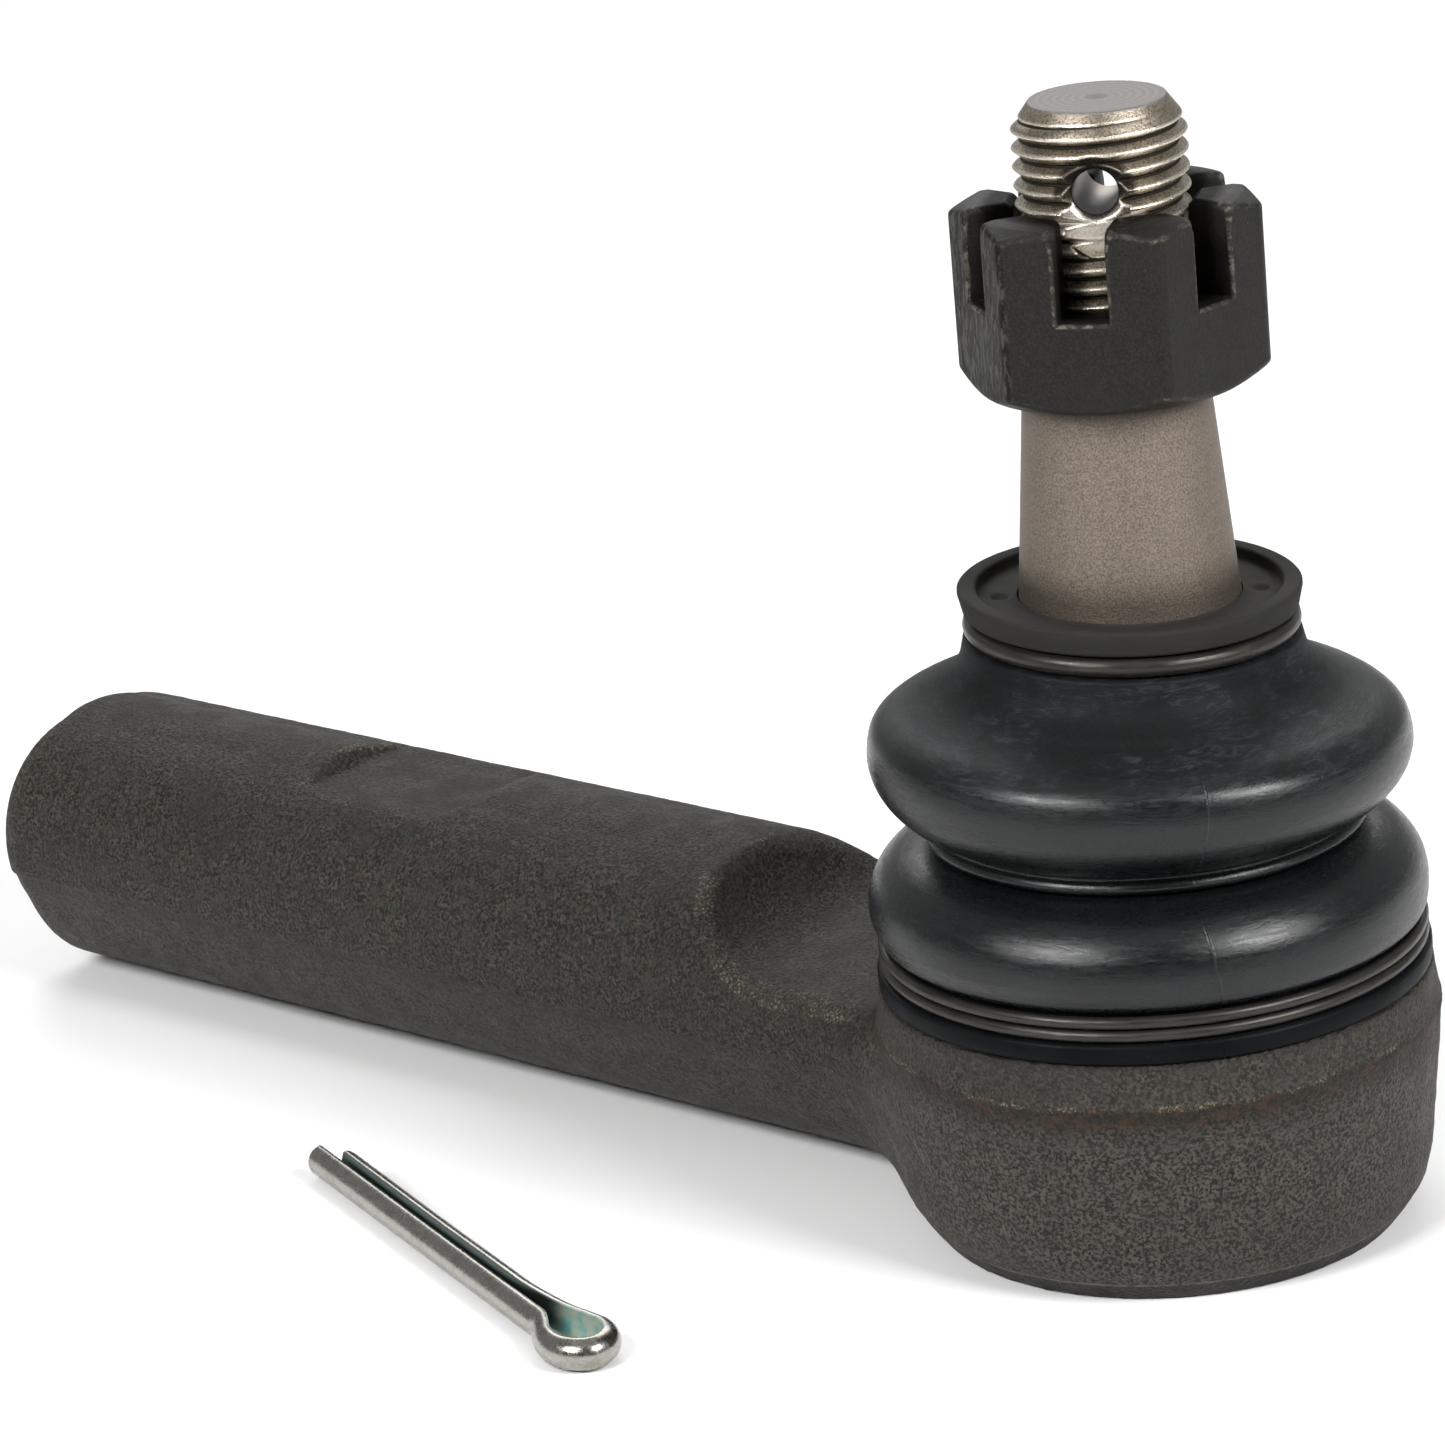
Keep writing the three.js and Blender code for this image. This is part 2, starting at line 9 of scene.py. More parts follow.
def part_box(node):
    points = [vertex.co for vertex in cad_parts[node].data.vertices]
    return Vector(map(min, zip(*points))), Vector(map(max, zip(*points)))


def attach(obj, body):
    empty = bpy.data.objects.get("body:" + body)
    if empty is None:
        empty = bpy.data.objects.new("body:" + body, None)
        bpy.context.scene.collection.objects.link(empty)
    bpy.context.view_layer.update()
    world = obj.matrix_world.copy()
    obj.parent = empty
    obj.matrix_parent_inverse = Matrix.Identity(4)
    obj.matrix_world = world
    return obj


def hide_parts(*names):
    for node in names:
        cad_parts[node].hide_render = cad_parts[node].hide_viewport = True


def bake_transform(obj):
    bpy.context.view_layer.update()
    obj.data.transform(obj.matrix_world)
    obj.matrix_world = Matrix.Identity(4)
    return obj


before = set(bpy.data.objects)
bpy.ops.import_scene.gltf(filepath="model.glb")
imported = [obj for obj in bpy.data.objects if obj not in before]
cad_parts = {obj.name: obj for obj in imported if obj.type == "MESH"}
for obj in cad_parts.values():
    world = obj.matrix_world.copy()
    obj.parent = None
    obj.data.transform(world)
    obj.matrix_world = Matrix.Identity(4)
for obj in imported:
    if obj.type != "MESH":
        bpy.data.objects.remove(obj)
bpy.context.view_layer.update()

MM = 0.001
FRONT = math.radians(-51)  # azimuth of the side that faces the camera
TURN = 2 * math.pi


def box_mm(node):
    """A CAD node's lowest and highest corner in millimetres."""
    low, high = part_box(node)
    return np.array(low) / MM, np.array(high) / MM


housing_low, housing_high = box_mm("housing")
stud_low, stud_high = box_mm("ball_stud")
nut_low, nut_high = box_mm("castle_nut")


# ---------------------------------------------------------------- distance functions, in millimetres

def smooth_min(a, b, reach):
    """The lower of two distances, rounded where they are within reach of each other."""
    share = np.maximum(reach - np.abs(a - b), 0) / reach
    return np.minimum(a, b) - share * share * reach / 4


def smooth_max(a, b, reach):
    return -smooth_min(-a, -b, reach)


def smooth_step(value, low, high):
    t = np.clip((value - low) / (high - low), 0, 1)
    return t * t * (3 - 2 * t)


def polygon_distance(x, y, corners):
    """Signed distance to a closed outline, negative inside."""
    corners = np.asarray(corners, float)
    nearest = np.full(x.shape, 1e18)
    inside = np.zeros(x.shape, bool)
    for (ax, ay), (bx, by) in zip(corners, np.roll(corners, 1, axis=0)):
        ex, ey = bx - ax, by - ay
        wx, wy = x - ax, y - ay
        t = np.clip((wx * ex + wy * ey) / (ex * ex + ey * ey), 0, 1)
        dx, dy = wx - ex * t, wy - ey * t
        nearest = np.minimum(nearest, dx * dx + dy * dy)
        above = (y >= ay) & (y < by) & (ex * wy > ey * wx)
        below = (y < ay) & (y >= by) & (ex * wy < ey * wx)
        inside ^= above | below
    return np.where(inside, -1, 1) * np.sqrt(nearest)


def gradient(distance, points, reach=0.02):
    """Slope of a distance function at points, by central differences."""
    slope = np.empty_like(points)
    for axis in range(3):
        shift = np.zeros(3)
        shift[axis] = reach
        high, low = points + shift, points - shift
        slope[:, axis] = (distance(*high.T) - distance(*low.T)) / (2 * reach)
    return slope


def iso_mesh(name, distance, low, high, step, relief=None):
    """Mesh of the surface where distance(x, y, z) is zero. relief(points) lifts it along its normal."""
    low, high = np.array(low, float), np.array(high, float)
    counts = np.ceil((high - low) / step).astype(int) + 1
    across, up = (low[i] + step * np.arange(counts[i]) for i in (1, 2))
    y, z = np.meshgrid(across, up, indexing="ij")
    values = np.empty(counts, np.float32)
    for i in range(counts[0]):
        values[i] = distance(np.full_like(y, low[0] + step * i), y, z)
    grid = openvdb.FloatGrid(4 * step)
    grid.copyFromArray(values)
    points, quads = grid.convertToQuads(0.0)
    points = low + np.asarray(points, float) * step
    for _ in range(3):
        slope = gradient(distance, points)
        size = np.maximum((slope**2).sum(axis=1), 0.1)
        move = np.clip(distance(*points.T) / size, -step / 2, step / 2)
        points -= slope * move[:, None]
    bend = curvature(distance, points)
    if relief is not None:
        slope = gradient(distance, points)
        slope /= np.maximum(np.linalg.norm(slope, axis=1), 1e-6)[:, None]
        points += slope * relief(points)[:, None]
    piece = mesh_object(name, points, np.asarray(quads))
    mark(piece, "bend", bend)
    return piece


def curvature(distance, points, reach=0.14):
    """How sharply a surface bends, in 1/mm: above 0 on edges and crests, below 0 in corners and grooves."""
    total = -6 * distance(*points.T)
    for axis in range(3):
        shift = np.zeros(3)
        shift[axis] = reach
        total += distance(*(points + shift).T) + distance(*(points - shift).T)
    return total / reach**2


def mark(piece, name, values):
    """Stores one number per point of a mesh, for its material."""
    layer = piece.data.attributes.new(name, "FLOAT", "POINT")
    layer.data.foreach_set("value", np.asarray(values, np.float32))


# ---------------------------------------------------------------- meshes

def mesh_object(name, points, faces, caps=()):
    """A smooth-shaded object in metres from points in millimetres, its faces turned outwards.
    caps are the flat ends of a wire, wound as the other faces are."""
    points = np.asarray(points, float) * MM
    faces = np.asarray(faces, int)
    a, b, c = (points[faces[:, i]] for i in range(3))
    volume = np.einsum("ij,ij->", a, np.cross(b, c))
    if faces.shape[1] == 4:
        d = points[faces[:, 3]]
        volume += np.einsum("ij,ij->", a, np.cross(c, d))
    caps = [cap[::-1] for cap in caps]
    if volume < 0:
        faces = faces[:, ::-1]
        caps = [cap[::-1] for cap in caps]
    mesh = bpy.data.meshes.new(name)
    mesh.from_pydata(points.tolist(), [], [*faces.tolist(), *caps])
    mesh.shade_smooth()
    piece = bpy.data.objects.new(name, mesh)
    bpy.context.scene.collection.objects.link(piece)
    return piece


def sharpen(piece, degrees=40):
    """Edges sharper than this stay crisp."""
    piece.data.set_sharp_from_angle(angle=math.radians(degrees))
    return piece


def turned_mesh(name, outline, angles, shape=None):
    """A ring or disc turned about the Z axis. outline is a closed loop of (radius, z).
    shape(radius, z, angle) returns the three moved from where plain turning puts them."""
    outline = np.asarray(outline, float)
    angle, radius = np.meshgrid(angles, outline[:, 0])
    z = np.repeat(outline[:, 1:2], len(angles), axis=1)
    if shape is not None:
        radius, z, angle = shape(radius, z, angle)
    points = np.stack([radius * np.cos(angle), radius * np.sin(angle), z], axis=-1)
    rows, columns = radius.shape
    index = np.arange(rows * columns).reshape(rows, columns)
    below, beside = np.roll(index, -1, axis=0), np.roll(index, -1, axis=1)
    both = np.roll(below, -1, axis=1)
    faces = np.stack([index, beside, both, below], axis=-1).reshape(-1, 4)
    return mesh_object(name, points.reshape(-1, 3), faces)


def swept_mesh(name, path, section, scales, closed=False):
    """A wire. section holds (outward, upward) offsets from the path, which lies nearly level.
    scales gives each station's share of the section, so that ends can be rounded."""
    path = np.asarray(path, float)
    if closed:
        along = np.roll(path, -1, axis=0) - np.roll(path, 1, axis=0)
    else:
        along = np.gradient(path, axis=0)
    along /= np.linalg.norm(along, axis=1)[:, None]
    outward = np.cross(along, [0, 0, 1])
    outward /= np.linalg.norm(outward, axis=1)[:, None]
    upward = np.cross(outward, along)
    section = np.asarray(section, float)
    scaled = section[None] * np.asarray(scales)[:, None, None]
    points = path[:, None] + scaled[..., :1] * outward[:, None] + scaled[..., 1:] * upward[:, None]
    rows, columns = points.shape[:2]
    index = np.arange(rows * columns).reshape(rows, columns)
    beside = np.roll(index, -1, axis=1)
    if closed:
        ahead, ahead_beside = np.roll(index, -1, axis=0), np.roll(beside, -1, axis=0)
        faces = np.stack([index, beside, ahead_beside, ahead], axis=-1).reshape(-1, 4)
        return mesh_object(name, points.reshape(-1, 3), faces)
    faces = np.stack([index[:-1], beside[:-1], beside[1:], index[1:]], axis=-1).reshape(-1, 4)
    first, last = index[0].tolist(), index[-1, ::-1].tolist()
    return mesh_object(name, points.reshape(-1, 3), faces, caps=[first, last])


def smooth_curve(points, per_span):
    """Points of a Catmull-Rom curve through the given ones, ends included."""
    points = np.asarray(points, float)
    ends = [2 * points[0] - points[1], *points, 2 * points[-1] - points[-2]]
    made = []
    for a, b, c, d in zip(ends, ends[1:], ends[2:], ends[3:]):
        for t in np.arange(per_span) / per_span:
            made.append(
                0.5 * (2 * b + (c - a) * t + (2 * a - 5 * b + 4 * c - d) * t**2
                       + (3 * b - a - 3 * c + d) * t**3)
            )
    return np.array([*made, points[-1]])


def even_angles(count):
    return np.arange(count) * TURN / count


def circle(radius, count):
    return [(radius * math.cos(a), radius * math.sin(a)) for a in even_angles(count)]


def fractal(points, size, seed):
    """Smooth noise of about -1 to 1 with features of that size, in millimetres."""
    offset = Vector((seed, -2 * seed, 3 * seed))
    return np.array([
        noise.noise(Vector(p) / size + offset) + 0.5 * noise.noise(Vector(p) * 2.1 / size - offset)
        for p in points
    ])


# ---------------------------------------------------------------- materials

SCUFFED = math.radians(-122.7)  # azimuth of the nut's most marked face


class Look:
    """A material built as a small graph of nodes. Sizes are in millimetres."""

    def __init__(self, name):
        self.material = bpy.data.materials.new(name)
        self.material.use_nodes = True
        self.nodes = self.material.node_tree.nodes
        self.links = self.material.node_tree.links
        self.shader = self.nodes["Principled BSDF"]
        self.place = self.nodes.new("ShaderNodeTexCoord").outputs["Object"]

    def feed(self, node, key, value):
        """Links a node's input to another node's output, or sets it to a plain value."""
        if isinstance(value, bpy.types.NodeSocket):
            self.links.new(value, node.inputs[key])
        else:
            node.inputs[key].default_value = value

    def set(self, **values):
        for key, value in values.items():
            self.feed(self.shader, key.replace("_", " "), value)

    def stretched(self, scale):
        """Coordinates scaled by (x, y, z), for streaks."""
        node = self.nodes.new("ShaderNodeMapping")
        self.links.new(self.place, node.inputs["Vector"])
        node.inputs["Scale"].default_value = scale
        return node.outputs["Vector"]

    def noise(self, size, detail=3, rough=0.6, place=None, warp=0):
        node = self.nodes.new("ShaderNodeTexNoise")
        self.links.new(place or self.place, node.inputs["Vector"])
        node.inputs["Scale"].default_value = 1 / (size * MM)
        node.inputs["Detail"].default_value = detail
        node.inputs["Roughness"].default_value = rough
        node.inputs["Distortion"].default_value = warp
        return node.outputs["Fac"]

    def cells(self, size):
        node = self.nodes.new("ShaderNodeTexVoronoi")
        self.links.new(self.place, node.inputs["Vector"])
        node.inputs["Scale"].default_value = 1 / (size * MM)
        return node.outputs["Distance"]

    def part(self, axis):
        """One coordinate in millimetres."""
        node = self.nodes.new("ShaderNodeSeparateXYZ")
        self.links.new(self.place, node.inputs[0])
        return self.times(node.outputs[axis], 1 / MM)

    def math(self, kind, a, b=0.0):
        node = self.nodes.new("ShaderNodeMath")
        node.operation = kind
        self.feed(node, 0, a)
        self.feed(node, 1, b)
        return node.outputs[0]

    def plus(self, a, b):
        return self.math("ADD", a, b)

    def minus(self, a, b):
        return self.math("SUBTRACT", a, b)

    def times(self, a, b):
        return self.math("MULTIPLY", a, b)

    def range(self, value, low, high, to_low=0.0, to_high=1.0):
        """value from low to high mapped smoothly on to_low to to_high, and held there outside."""
        node = self.nodes.new("ShaderNodeMapRange")
        node.interpolation_type = "SMOOTHSTEP"
        self.feed(node, "Value", value)
        for key, number in zip(("From Min", "From Max", "To Min", "To Max"), (low, high, to_low, to_high)):
            node.inputs[key].default_value = number
        return node.outputs[0]

    def mix(self, share, a, b):
        """A colour from a at share 0 to b at share 1."""
        node = self.nodes.new("ShaderNodeMix")
        node.data_type = "RGBA"
        self.feed(node, 0, share)
        self.feed(node, 6, (*a, 1) if isinstance(a, tuple) else a)
        self.feed(node, 7, (*b, 1) if isinstance(b, tuple) else b)
        return node.outputs[2]

    def bump(self, height, depth, under=None):
        """A normal from a height of 0 to 1 that stands for depth millimetres."""
        node = self.nodes.new("ShaderNodeBump")
        node.inputs["Strength"].default_value = 1
        node.inputs["Distance"].default_value = depth * MM
        self.links.new(height, node.inputs["Height"])
        if under is not None:
            self.links.new(under, node.inputs["Normal"])
        return node.outputs[0]

    def marked(self, name, low, high):
        """A number stored on the mesh, mapped from low to high on 0 to 1."""
        node = self.nodes.new("ShaderNodeAttribute")
        node.attribute_name = name
        return self.range(node.outputs["Fac"], low, high)

    def radius(self, a, b):
        return self.math("SQRT", self.plus(self.times(a, a), self.times(b, b)))

    def gloss(self, value):
        """How strongly a surface that isn't metal shines, 0.5 being the usual."""
        self.feed(self.shader, "Specular IOR Level", value)


def forged_steel():
    """Shot-blasted forging: dark, sandy, mottled brown and olive, with a spangled line round the socket."""
    look = Look("forged_steel")
    sand = look.noise(0.30, detail=2, rough=0.7)
    coarse = look.noise(0.8, detail=4, rough=0.65)
    mottle = look.noise(3.2, detail=4, rough=0.62)
    patches = look.noise(14, detail=4, rough=0.6)
    tint = look.noise(1.7, detail=3, place=look.stretched((1, 1, 1.3)))
    base = look.mix(look.range(sand, 0.43, 0.58), (0.0032, 0.0028, 0.0021), (0.0600, 0.0530, 0.0425))
    base = look.mix(look.range(coarse, 0.40, 0.60, 0.5, 0), base, (0.0105, 0.0096, 0.0076))
    base = look.mix(look.range(tint, 0.5, 0.68, 0, 0.45), base, (0.034, 0.022, 0.0145))
    base = look.mix(look.range(tint, 0.5, 0.36, 0, 0.45), base, (0.0215, 0.0230, 0.0150))
    base = look.mix(look.range(mottle, 0.46, 0.64, 0, 0.45), base, (0.033, 0.0315, 0.0285))
    base = look.mix(look.range(patches, 0.5, 0.68, 0, 0.35), base, (0.0145, 0.0132, 0.0108))
    # Below the parting line the scale is thinner, greyer and smoother.
    x, y, z = (look.part(axis) for axis in range(3))
    lower = look.times(look.range(z, PARTING_Z + 0.2, PARTING_Z - 0.2), look.range(x, -22, -34))
    base = look.mix(look.times(lower, 0.45), base, (0.0300, 0.0285, 0.0258))
    # Round the socket: a paler shoulder, painted shade just under the boot's lip, a painted shadow with some
    # rust under the broken bright ridge, and a faint second line.
    socket = look.range(look.radius(x, y), 25.5, 23.6)
    low = look.math("MAXIMUM", look.range(z, 14, 6), look.times(look.range(z, 18, 12), socket))
    sandy = look.mix(look.range(sand, 0.43, 0.58), (0.018, 0.016, 0.013), (0.130, 0.119, 0.099))
    base = look.mix(look.times(low, 0.24), base, sandy)
    height = look.plus(z, look.range(patches, 0.2, 0.8, -0.5, 0.5))
    pale = look.times(look.range(height, RIDGE_Z, RIDGE_Z + 0.5), socket)
    base = look.mix(look.times(pale, 0.14), base, (0.052, 0.047, 0.038))
    # Painted shade: the forging darkened just under the boot's lip.
    under_lip_shade = look.times(look.range(z, SHOULDER_Z - 0.9, SHOULDER_Z - 0.1), socket)
    base = look.mix(look.times(under_lip_shade, 0.4), base, (0.0075, 0.0066, 0.0054))
    shadow = look.times(look.range(height, RIDGE_Z - 2.6, RIDGE_Z - 0.5), socket)
    shadow = look.times(shadow, look.range(height, RIDGE_Z + 0.1, RIDGE_Z))
    base = look.mix(look.times(shadow, 0.7), base, (0.0105, 0.0078, 0.0056))
    rusty = look.times(shadow, look.range(coarse, 0.5, 0.62))
    base = look.mix(look.times(rusty, 0.6), base, (0.050, 0.024, 0.012))
    second = look.range(look.math("ABSOLUTE", look.minus(height, RIDGE_Z - 3.3)), 0.3, 0.05)
    second = look.times(look.times(second, socket), look.range(coarse, 0.35, 0.6))
    base = look.mix(look.times(second, 0.45), base, (0.060, 0.057, 0.050))
    # Bright flakes: along the ridge, on the forging's sharper edges and here and there.
    ridge = look.range(look.math("ABSOLUTE", look.minus(height, RIDGE_Z + 0.05)), 0.32, 0.06)
    ridge = look.times(look.times(ridge, socket), look.range(look.noise(4.5), 0.42, 0.62))
    edge = look.times(look.marked("bend", 0.15, 0.6), look.range(look.noise(3.5), 0.40, 0.56))
    edge = look.times(edge, look.minus(1.0, socket))
    crest = look.math("MAXIMUM", ridge, edge)
    flakes = look.range(look.noise(0.22, detail=1), 0.54, 0.66)
    stray = look.times(look.range(look.cells(0.5), 0.07, 0.03), look.range(look.noise(5), 0.55, 0.65))
    shine = look.math("MAXIMUM", look.times(crest, flakes), look.times(stray, 0.7))
    base = look.mix(look.times(crest, 0.22), base, (0.060, 0.052, 0.040))
    base = look.mix(look.times(shine, 0.7), base, (0.23, 0.200, 0.145))
    # The foot's turned chamfer is smoother and darker, under a bright line that is a painted highlight.
    foot = look.times(look.range(z, 1.62, 1.5), socket)
    base = look.mix(look.times(foot, 0.75), base, (0.0125, 0.0118, 0.0102))
    # Painted highlight: a thin, broken bright line along the chamfer's upper edge.
    lip = look.math("ABSOLUTE", look.minus(z, 1.68))
    lip = look.times(look.range(lip, 0.14, 0.04), socket)
    base = look.mix(look.times(lip, look.range(coarse, 0.36, 0.6, 0.2, 1)), base, (0.105, 0.095, 0.078))
    grain = look.bump(sand, 0.20)
    pits = look.bump(coarse, 0.16, grain)
    look.set(
        Base_Color=base,
        Metallic=look.times(shine, 0.6),
        Roughness=look.range(mottle, 0.3, 0.7, 0.5, 0.68),
        Normal=pits,
    )
    look.gloss(0.2)
    return look.material


def machined_steel(name, tint):
    look = Look(name)
    rings = look.noise(0.25, detail=2, place=look.stretched((1, 1, 6)))
    stain = look.noise(5, detail=4)
    base = look.mix(look.range(rings, 0.3, 0.7), tuple(0.7 * c for c in tint), tint)
    base = look.mix(look.range(stain, 0.5, 0.75, 0, 0.4), base, (0.10, 0.08, 0.06))
    look.set(Base_Color=base, Metallic=0.85, Roughness=look.range(stain, 0.3, 0.7, 0.35, 0.5),
             Normal=look.bump(rings, 0.02))
    return look.material


def taper_steel():
    """The stud's seat: fine ground steel with a sandy sheen and turning rings low down."""
    look = Look("taper_steel")
    sand = look.noise(0.16, detail=4, rough=0.7)
    rings = look.noise(0.2, detail=2, place=look.stretched((0.12, 0.12, 1)))
    stain = look.noise(7, detail=3)
    base = look.mix(look.range(sand, 0.3, 0.72), (0.098, 0.080, 0.064), (0.262, 0.219, 0.181))
    base = look.mix(look.range(rings, 0.5, 0.75, 0, 0.25), base, (0.085, 0.066, 0.050))
    base = look.mix(look.range(stain, 0.5, 0.8, 0, 0.3), base, (0.115, 0.095, 0.078))
    foot = look.range(look.part(2), 54.2, 57.5, 0.5, 0)
    base = look.mix(foot, base, (0.070, 0.056, 0.042))
    # Painted shadow under the nut: a dark reddish-brown band at the top of the taper.
    nut_shadow = look.range(look.part(2), 69.0, 70.1, 0, 0.8)
    base = look.mix(nut_shadow, base, (0.022, 0.014, 0.009))
    sanded = look.bump(sand, 0.03)
    look.set(Base_Color=base, Metallic=0.72, Roughness=look.range(sand, 0.3, 0.7, 0.5, 0.62),
             Normal=look.bump(rings, 0.02, sanded))
    return look.material


def thread_steel():
    """Rolled thread: bronze-grey, with highlights painted on the crests, shade painted in the roots and a
    dark ring of painted shade in the countersink round the hole.
    """
    look = Look("thread_steel")
    sand = look.noise(0.2, detail=4, rough=0.7)
    stain = look.noise(2.5, detail=4)
    crest = look.marked("bend", 0.6, 2.2)
    root = look.marked("bend", 0.0, -2.0)
    x, y, z = (look.part(axis) for axis in range(3))
    base = look.mix(look.range(sand, 0.3, 0.7), (0.205, 0.176, 0.136), (0.455, 0.395, 0.315))
    base = look.mix(look.range(stain, 0.45, 0.7, 0, 0.5), base, (0.10, 0.085, 0.062))
    # Painted shade in the roots and painted highlights on the crests, from how the surface bends.
    base = look.mix(look.times(root, 0.95), base, (0.011, 0.009, 0.006))
    base = look.mix(look.times(crest, 0.75), base, (0.80, 0.73, 0.61))
    cos, sin = math.cos(HOLE_AZIMUTH), math.sin(HOLE_AZIMUTH)
    aside = look.plus(look.times(x, -sin), look.times(y, cos))
    rise = look.minus(z, HOLE_Z)
    away = look.radius(aside, rise)
    # Painted shade: a dark ring in the countersink round the hole.
    countersink_shade = look.times(look.range(away, 3.5, 3.0), look.range(rise, -0.9, 0.2))
    base = look.mix(look.times(countersink_shade, 0.85), base, (0.028, 0.022, 0.016))
    polished = look.times(look.range(away, 4.4, 3.9), look.range(rise, -0.8, -1.8))
    base = look.mix(look.times(polished, 0.7), base, (0.50, 0.455, 0.40))
    bore = look.range(away, 1.95, 1.75)
    base = look.mix(bore, base, (0.105, 0.100, 0.095))
    # The end is faced off: matt, with faint turning rings about its middle.
    top = look.range(z, stud_high[2] - 0.25, stud_high[2] - 0.05)
    rings = look.math("SINE", look.times(look.radius(x, y), 9.0))
    faced = look.mix(look.range(sand, 0.3, 0.7), (0.155, 0.146, 0.139), (0.262, 0.250, 0.240))
    faced = look.mix(look.range(rings, -1, 1, 0, 0.25), faced, (0.085, 0.079, 0.075))
    faced = look.mix(look.range(look.radius(x, y), 1.1, 0.6, 0, 0.5), faced, (0.07, 0.065, 0.06))
    base = look.mix(top, base, faced)
    rough = look.plus(look.range(sand, 0.3, 0.7, 0.24, 0.36), look.times(top, 0.3))
    look.set(Base_Color=base, Metallic=0.9, Roughness=look.plus(rough, look.times(root, 0.3)),
             Normal=look.bump(sand, 0.03))
    return look.material


def phosphate_steel():
    """The nut: near black, with fine grain, and bare metal where its edges are worn."""
    look = Look("phosphate_steel")
    grain = look.noise(0.22, detail=4, rough=0.75)
    patches = look.noise(6, detail=4)
    streaks = look.noise(0.5, detail=4, rough=0.7, place=look.stretched((1, 1, 0.3)), warp=0.3)
    chips = look.noise(0.9, detail=4, rough=0.7)
    x, y = look.part(0), look.part(1)
    base = look.mix(look.range(grain, 0.38, 0.64), (0.0028, 0.0026, 0.0021), (0.0130, 0.0121, 0.0098))
    base = look.mix(look.range(patches, 0.4, 0.7, 0, 0.35), base, (0.0120, 0.0100, 0.0072))
    # Its left face has been dragged along something and shows grey streaks.
    out = look.plus(look.times(x, math.cos(SCUFFED)), look.times(y, math.sin(SCUFFED)))
    left = look.range(out, NUT_FLAT - 0.5, NUT_FLAT - 0.15)
    dragged = look.times(left, look.range(streaks, 0.48, 0.58))
    base = look.mix(look.times(dragged, 0.6), base, (0.078, 0.075, 0.067))
    lint = look.range(look.cells(1.1), 0.02, 0.05, 1, 0)
    base = look.mix(look.times(lint, 0.5), base, (0.12, 0.11, 0.09))
    edge = look.times(look.marked("bend", 1.1, 2.6), look.range(chips, 0.47, 0.62, 0.08, 1))
    base = look.mix(look.times(edge, 0.7), base, (0.150, 0.138, 0.112))
    # Painted shade: near black deep in the slots, towards the bore; it also dulls the gloss there.
    deep_shade = look.range(look.radius(x, y), 10.6, 8.6)
    base = look.mix(look.times(deep_shade, 0.9), base, (0.0008, 0.0008, 0.0007))
    look.set(
        Base_Color=base,
        Metallic=look.times(edge, 0.6),
        Roughness=look.range(patches, 0.3, 0.7, 0.42, 0.56),
        Normal=look.bump(streaks, 0.03, look.bump(grain, 0.06)),
    )
    look.gloss(look.minus(look.range(deep_shade, 0, 1, 0.2, 0.04), look.times(left, 0.13)))
    return look.material


def boot_rubber():
    """Moulded rubber: blue-black and glossy, dusty where it faces up, with faint scuffs round the bellows."""
    look = Look("boot_rubber")
    fine = look.noise(0.3, detail=4, rough=0.7)
    cloud = look.noise(6, detail=4, rough=0.6)
    scuffs = look.noise(0.5, detail=5, rough=0.8, place=look.stretched((0.22, 0.22, 1.3)), warp=0.9)
    base = look.mix(look.range(cloud, 0.3, 0.7), (0.0016, 0.0023, 0.0026), (0.0034, 0.0046, 0.0052))
    normal = look.nodes.new("ShaderNodeNewGeometry")
    split = look.nodes.new("ShaderNodeSeparateXYZ")
    look.links.new(normal.outputs["Normal"], split.inputs[0])
    facing = look.range(split.outputs[2], 0.1, 0.75)
    height = look.part(2)
    slope = look.range(height, 41, 43.5)
    rubbed = look.times(look.range(scuffs, 0.46, 0.70), look.range(cloud, 0.40, 0.56))
    base = look.mix(look.times(look.times(rubbed, slope), 0.8), base, (0.026, 0.033, 0.036))
    dust = look.times(facing, look.range(fine, 0.25, 0.75))
    base = look.mix(look.times(dust, 0.12), base, (0.030, 0.034, 0.034))
    lint = look.range(look.cells(0.9), 0.015, 0.045, 1, 0)
    base = look.mix(look.times(lint, 0.5), base, (0.16, 0.16, 0.14))
    # The moulded rim is greyer than the bellows, and rim and lip are duller.
    rim = look.range(height, 51.6, 51.9)
    lip = look.range(height, 23.4, 23.0)
    base = look.mix(look.times(rim, 0.7), base, (0.0265, 0.0250, 0.0220))
    rough = look.plus(look.range(scuffs, 0.35, 0.7, 0.24, 0.35), look.range(height, 42.5, 46.5, 0, 0.36))
    look.set(
        Base_Color=base,
        Roughness=look.plus(rough, look.times(look.plus(rim, lip), 0.15)),
        Normal=look.bump(scuffs, 0.03, look.bump(fine, 0.012)),
    )
    look.gloss(look.minus(look.range(height, 43, 47, 0.40, 0.15), look.times(lip, 0.34)))
    return look.material


def wire_steel():
    look = Look("wire_steel")
    drawn = look.noise(0.25, detail=3, place=look.stretched((0.06, 0.06, 1)))
    stain = look.noise(3, detail=5, rough=0.7)
    base = look.mix(look.range(drawn, 0.3, 0.7), (0.016, 0.0145, 0.0115), (0.036, 0.0325, 0.0260))
    base = look.mix(look.range(stain, 0.6, 0.75, 0, 0.5), base, (0.050, 0.026, 0.014))
    look.set(Base_Color=base, Metallic=0.5, Roughness=look.range(stain, 0.3, 0.7, 0.3, 0.45),
             Normal=look.bump(drawn, 0.03))
    return look.material


